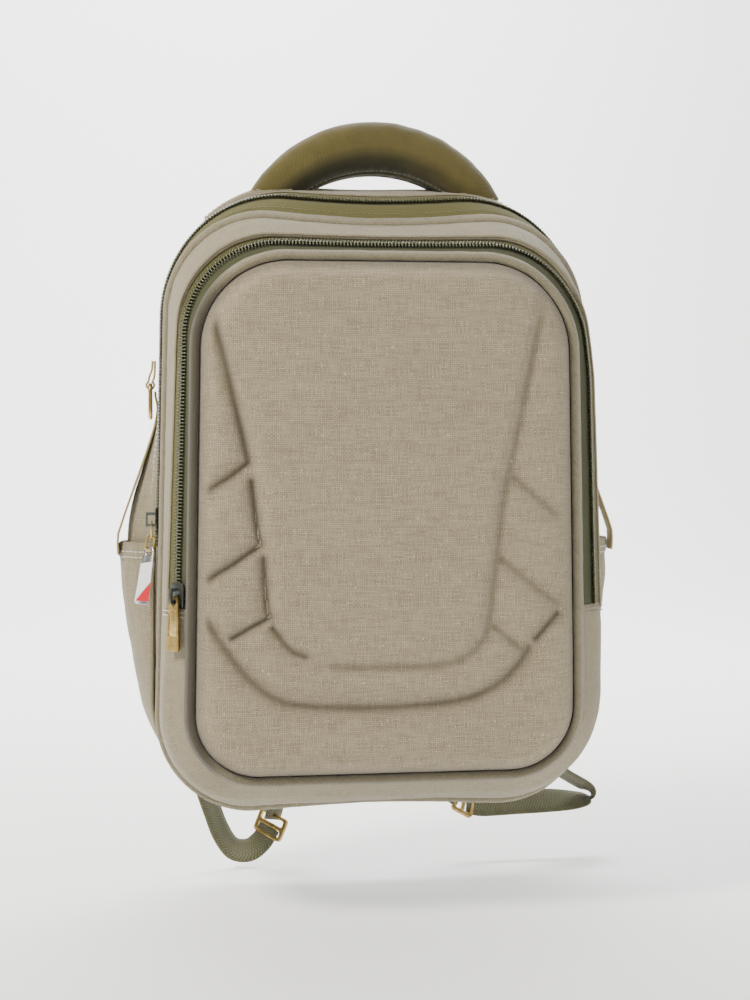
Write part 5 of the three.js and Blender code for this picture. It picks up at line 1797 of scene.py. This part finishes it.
FRONT_UP, FRONT_OUT = Vector((0.0275, 0, 0.99962)), Vector((-0.89673, -0.44189, 0.02467))
FRONT_ACROSS = Vector((0.44172, -0.89707, -0.01215))
SLIDER_AT, FRONT_ZIP_AT = Vector((-0.14039, -0.0832, -0.291)), Vector((-0.1378, -0.0842, -0.291))
FRONT_TURN = Matrix.Rotation(math.radians(20), 3, FRONT_UP)
FRONT_ZIP_FRAME = zip_frame(FRONT_ZIP_AT, FRONT_UP, FRONT_TURN @ FRONT_OUT, FRONT_TURN @ FRONT_ACROSS)
MAIN_ZIP_FRAME = zip_frame((-0.15011, -0.0295, -0.244), (0.02254, 0, 0.99975), (-0.99975, 0, 0.02254), (0, -1, 0))
PULLER_TOP, PULLER_OUT = -4.2, 5.2


def turned(piece, at, turn, to=None):
    """Turns a finished mesh about a point, and sets that point down somewhere else."""
    piece.data.transform(Matrix.Translation(to or at) @ turn.to_4x4() @ Matrix.Translation(-at))


turned(bpy.data.objects["front_slider_body"], SLIDER_AT, FRONT_TURN, FRONT_ZIP_AT)


def puller_outline():
    """A tapered bar: 8 wide with a round head at its eye, 11 wide at its square end with round corners."""
    head = [(4.0 * math.cos(t), 4.0 * math.sin(t)) for t in np.linspace(0.15, math.pi - 0.15, 14)]
    left = [(-4.0 - 1.5 * s, -s * 29) for s in np.linspace(0.1, 1, 8)]
    left += [(-5.5 + 2.6 * (1 - math.cos(t)), -30.2 - 2.8 * math.sin(t)) for t in np.linspace(0.1, math.pi / 2, 6)]
    return np.array(head + left + [(-x, y) for x, y in left[::-1]])


def field_outline(inset):
    """The sunk field: a long rounded slot in the lower two thirds of the puller."""
    loop = rounded_path(6.6 - 2 * inset, 17.5 - 2 * inset, 1.6, 11)
    taper = 1 + (loop[:, 1] * -0.010)
    return np.column_stack([loop[:, 0] * taper, loop[:, 1] - 14.5])


def puller_loops(outlines, lifts):
    """Outlines in the puller's plane, each lifted off its middle plane."""
    return [np.column_stack([p[:, 0], p[:, 1] + PULLER_TOP, np.full(len(p), PULLER_OUT + lift)])
            for p, lift in zip(outlines, lifts)]


def block_of(name, outline_of_it, low, high):
    return stacked(name, puller_loops([outline_of_it] * 2, (low, high)), BRONZE, world=FRONT_ZIP_FRAME)


def puller_piece():
    """The bar with its field and its eye, as one closed mesh: cut from solids with booleans, then bevelled."""
    bar = block_of("front_puller_bar", puller_outline(), -1.1, 1.1)
    eye = np.array([(2.4 * math.cos(t), 2.4 * math.sin(t)) for t in np.linspace(0, 2 * math.pi, 25)[:-1]])
    cutters = [block_of("eye_cut", eye, -4, 4), block_of("field_cut", field_outline(0), 0.5, 4)]
    for cutter in cutters:
        cut = bar.modifiers.new("cut", "BOOLEAN")
        cut.operation, cut.solver, cut.object = "DIFFERENCE", "EXACT", cutter
        settle(bar)
        bpy.data.objects.remove(cutter)
    soften(bar, 0.3, 3, 35)
    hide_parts("front_puller")
    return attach(bar, "front_puller")


front_puller = puller_piece()
field_loops = puller_loops([field_outline(i) for i in (0.0, 0.1, 0.6)], (0.3, 0.62, 0.68))
stacked("front_puller_field", field_loops, BRASS, world=FRONT_ZIP_FRAME, body="front_puller", slot="bronze")

TAG_LEAN, TAG_PIVOT, TAG_AT = -0.2, np.array([0, -13.25, 5.1]), np.array([0, -23.3, 5.1])
TAG_TURN = Matrix.Rotation(math.radians(48), 3, "Z")
TAG_MIDDLE = Vector(MAIN_ZIP_FRAME([TAG_AT])[0])
turned(bpy.data.objects["tag_plate"], TAG_MIDDLE, TAG_TURN)


def tag_world(points):
    turn = np.array(Matrix.Rotation(TAG_LEAN, 3, "X"))
    placed = MAIN_ZIP_FRAME((np.asarray(points, float) + TAG_AT - TAG_PIVOT) @ turn.T + TAG_PIVOT)
    return (placed - np.array(TAG_MIDDLE)) @ np.array(TAG_TURN).T + np.array(TAG_MIDDLE)


def tag_field(name, corners, low, high, finish):
    loop = np.array(corners, float)
    middle = loop.mean(0)
    loops = [np.column_stack([middle + (loop - middle) * s, np.full(len(loop), z)])
             for s, z in ((1.0, low), (1.0, high - 0.1), (0.94, high))]
    return stacked(name, loops, finish, world=tag_world, body="main_pull_tag", slot="tag_enamel", smooth=False)


for face, sign in (("outer", 1), ("inner", -1)):
    low, high = sign * 0.6, sign * 1.05
    tag_field("tag_white_" + face, [(-5.6, -8), (5.0, -6), (5.6, -20), (-6.0, -33.5)], low, high, WHITE_ENAMEL)
    tag_field("tag_red_" + face, [(-5.6, -33.9), (6.0, -20.6), (6.2, -33.9)], low, high, RED_ENAMEL)
print("pullers made")

# %% [markdown]
# ## Inside
# The inside shows when a compartment opens. A stiff board lies in the base, a padded sleeve with a strap stands
# against the back, and an organiser pocket is sewn to the divider. They are plain flat goods, so each is a copy of
# the frame's solid with a soft bevel and a cloth finish.

# %% Inside pieces
for node, name, finish, bevel, slot, body in (
    ("base_board", "stiff_board", BOARD, 0.6, "board", "bag"),
    ("laptop_sleeve", "padded_sleeve", LINING, 1.6, "lining", "bag"),
    ("sleeve_strap", "sleeve_strip", OLIVE_WEBBING, 0.5, "olive_webbing", "bag"),
    ("organizer_pocket", "organizer", LINING, 0.9, "lining", "front_section"),
):
    piece = bevelled(node, name, finish, bevel, 3, body=body, stands_for=[node], slot=slot)
    flat_uv(piece)
print("inside made")

# %% [markdown]
# ## Floor and finish
# The bag hangs clear of a plain pale floor.

# %% Floor
FLOOR_AT, BACKDROP_Y, BACKDROP_BEND = -0.5150, 2.6, 1.0
turns = [math.radians(a) for a in range(0, 91, 6)]
profile = [(-6.0, FLOOR_AT), (BACKDROP_Y - BACKDROP_BEND, FLOOR_AT)]
profile += [(BACKDROP_Y - BACKDROP_BEND + BACKDROP_BEND * math.sin(a), FLOOR_AT + BACKDROP_BEND * (1 - math.cos(a)))
            for a in turns]
profile += [(BACKDROP_Y, 5.0)]
floor_mesh = bpy.data.meshes.new("floor")
floor_mesh.from_pydata(
    [(x, y, z) for y, z in profile for x in (-6.0, 6.0)], [],
    [(2 * i, 2 * i + 1, 2 * i + 3, 2 * i + 2) for i in range(len(profile) - 1)],
)
floor = bpy.data.objects.new("floor", floor_mesh)
bpy.context.scene.collection.objects.link(floor)
floor_mesh.polygons.foreach_set("use_smooth", [True] * len(floor_mesh.polygons))
floor_mesh.materials.append(
    plain("paper", (0.93, 0.93, 0.92), 0.9, Emission_Color=(1, 1, 1, 1), Emission_Strength=0.5)
)

# %% Finish
for pattern in [o for o in bpy.data.objects if o.name.endswith("_pattern")]:
    bpy.data.objects.remove(pattern)
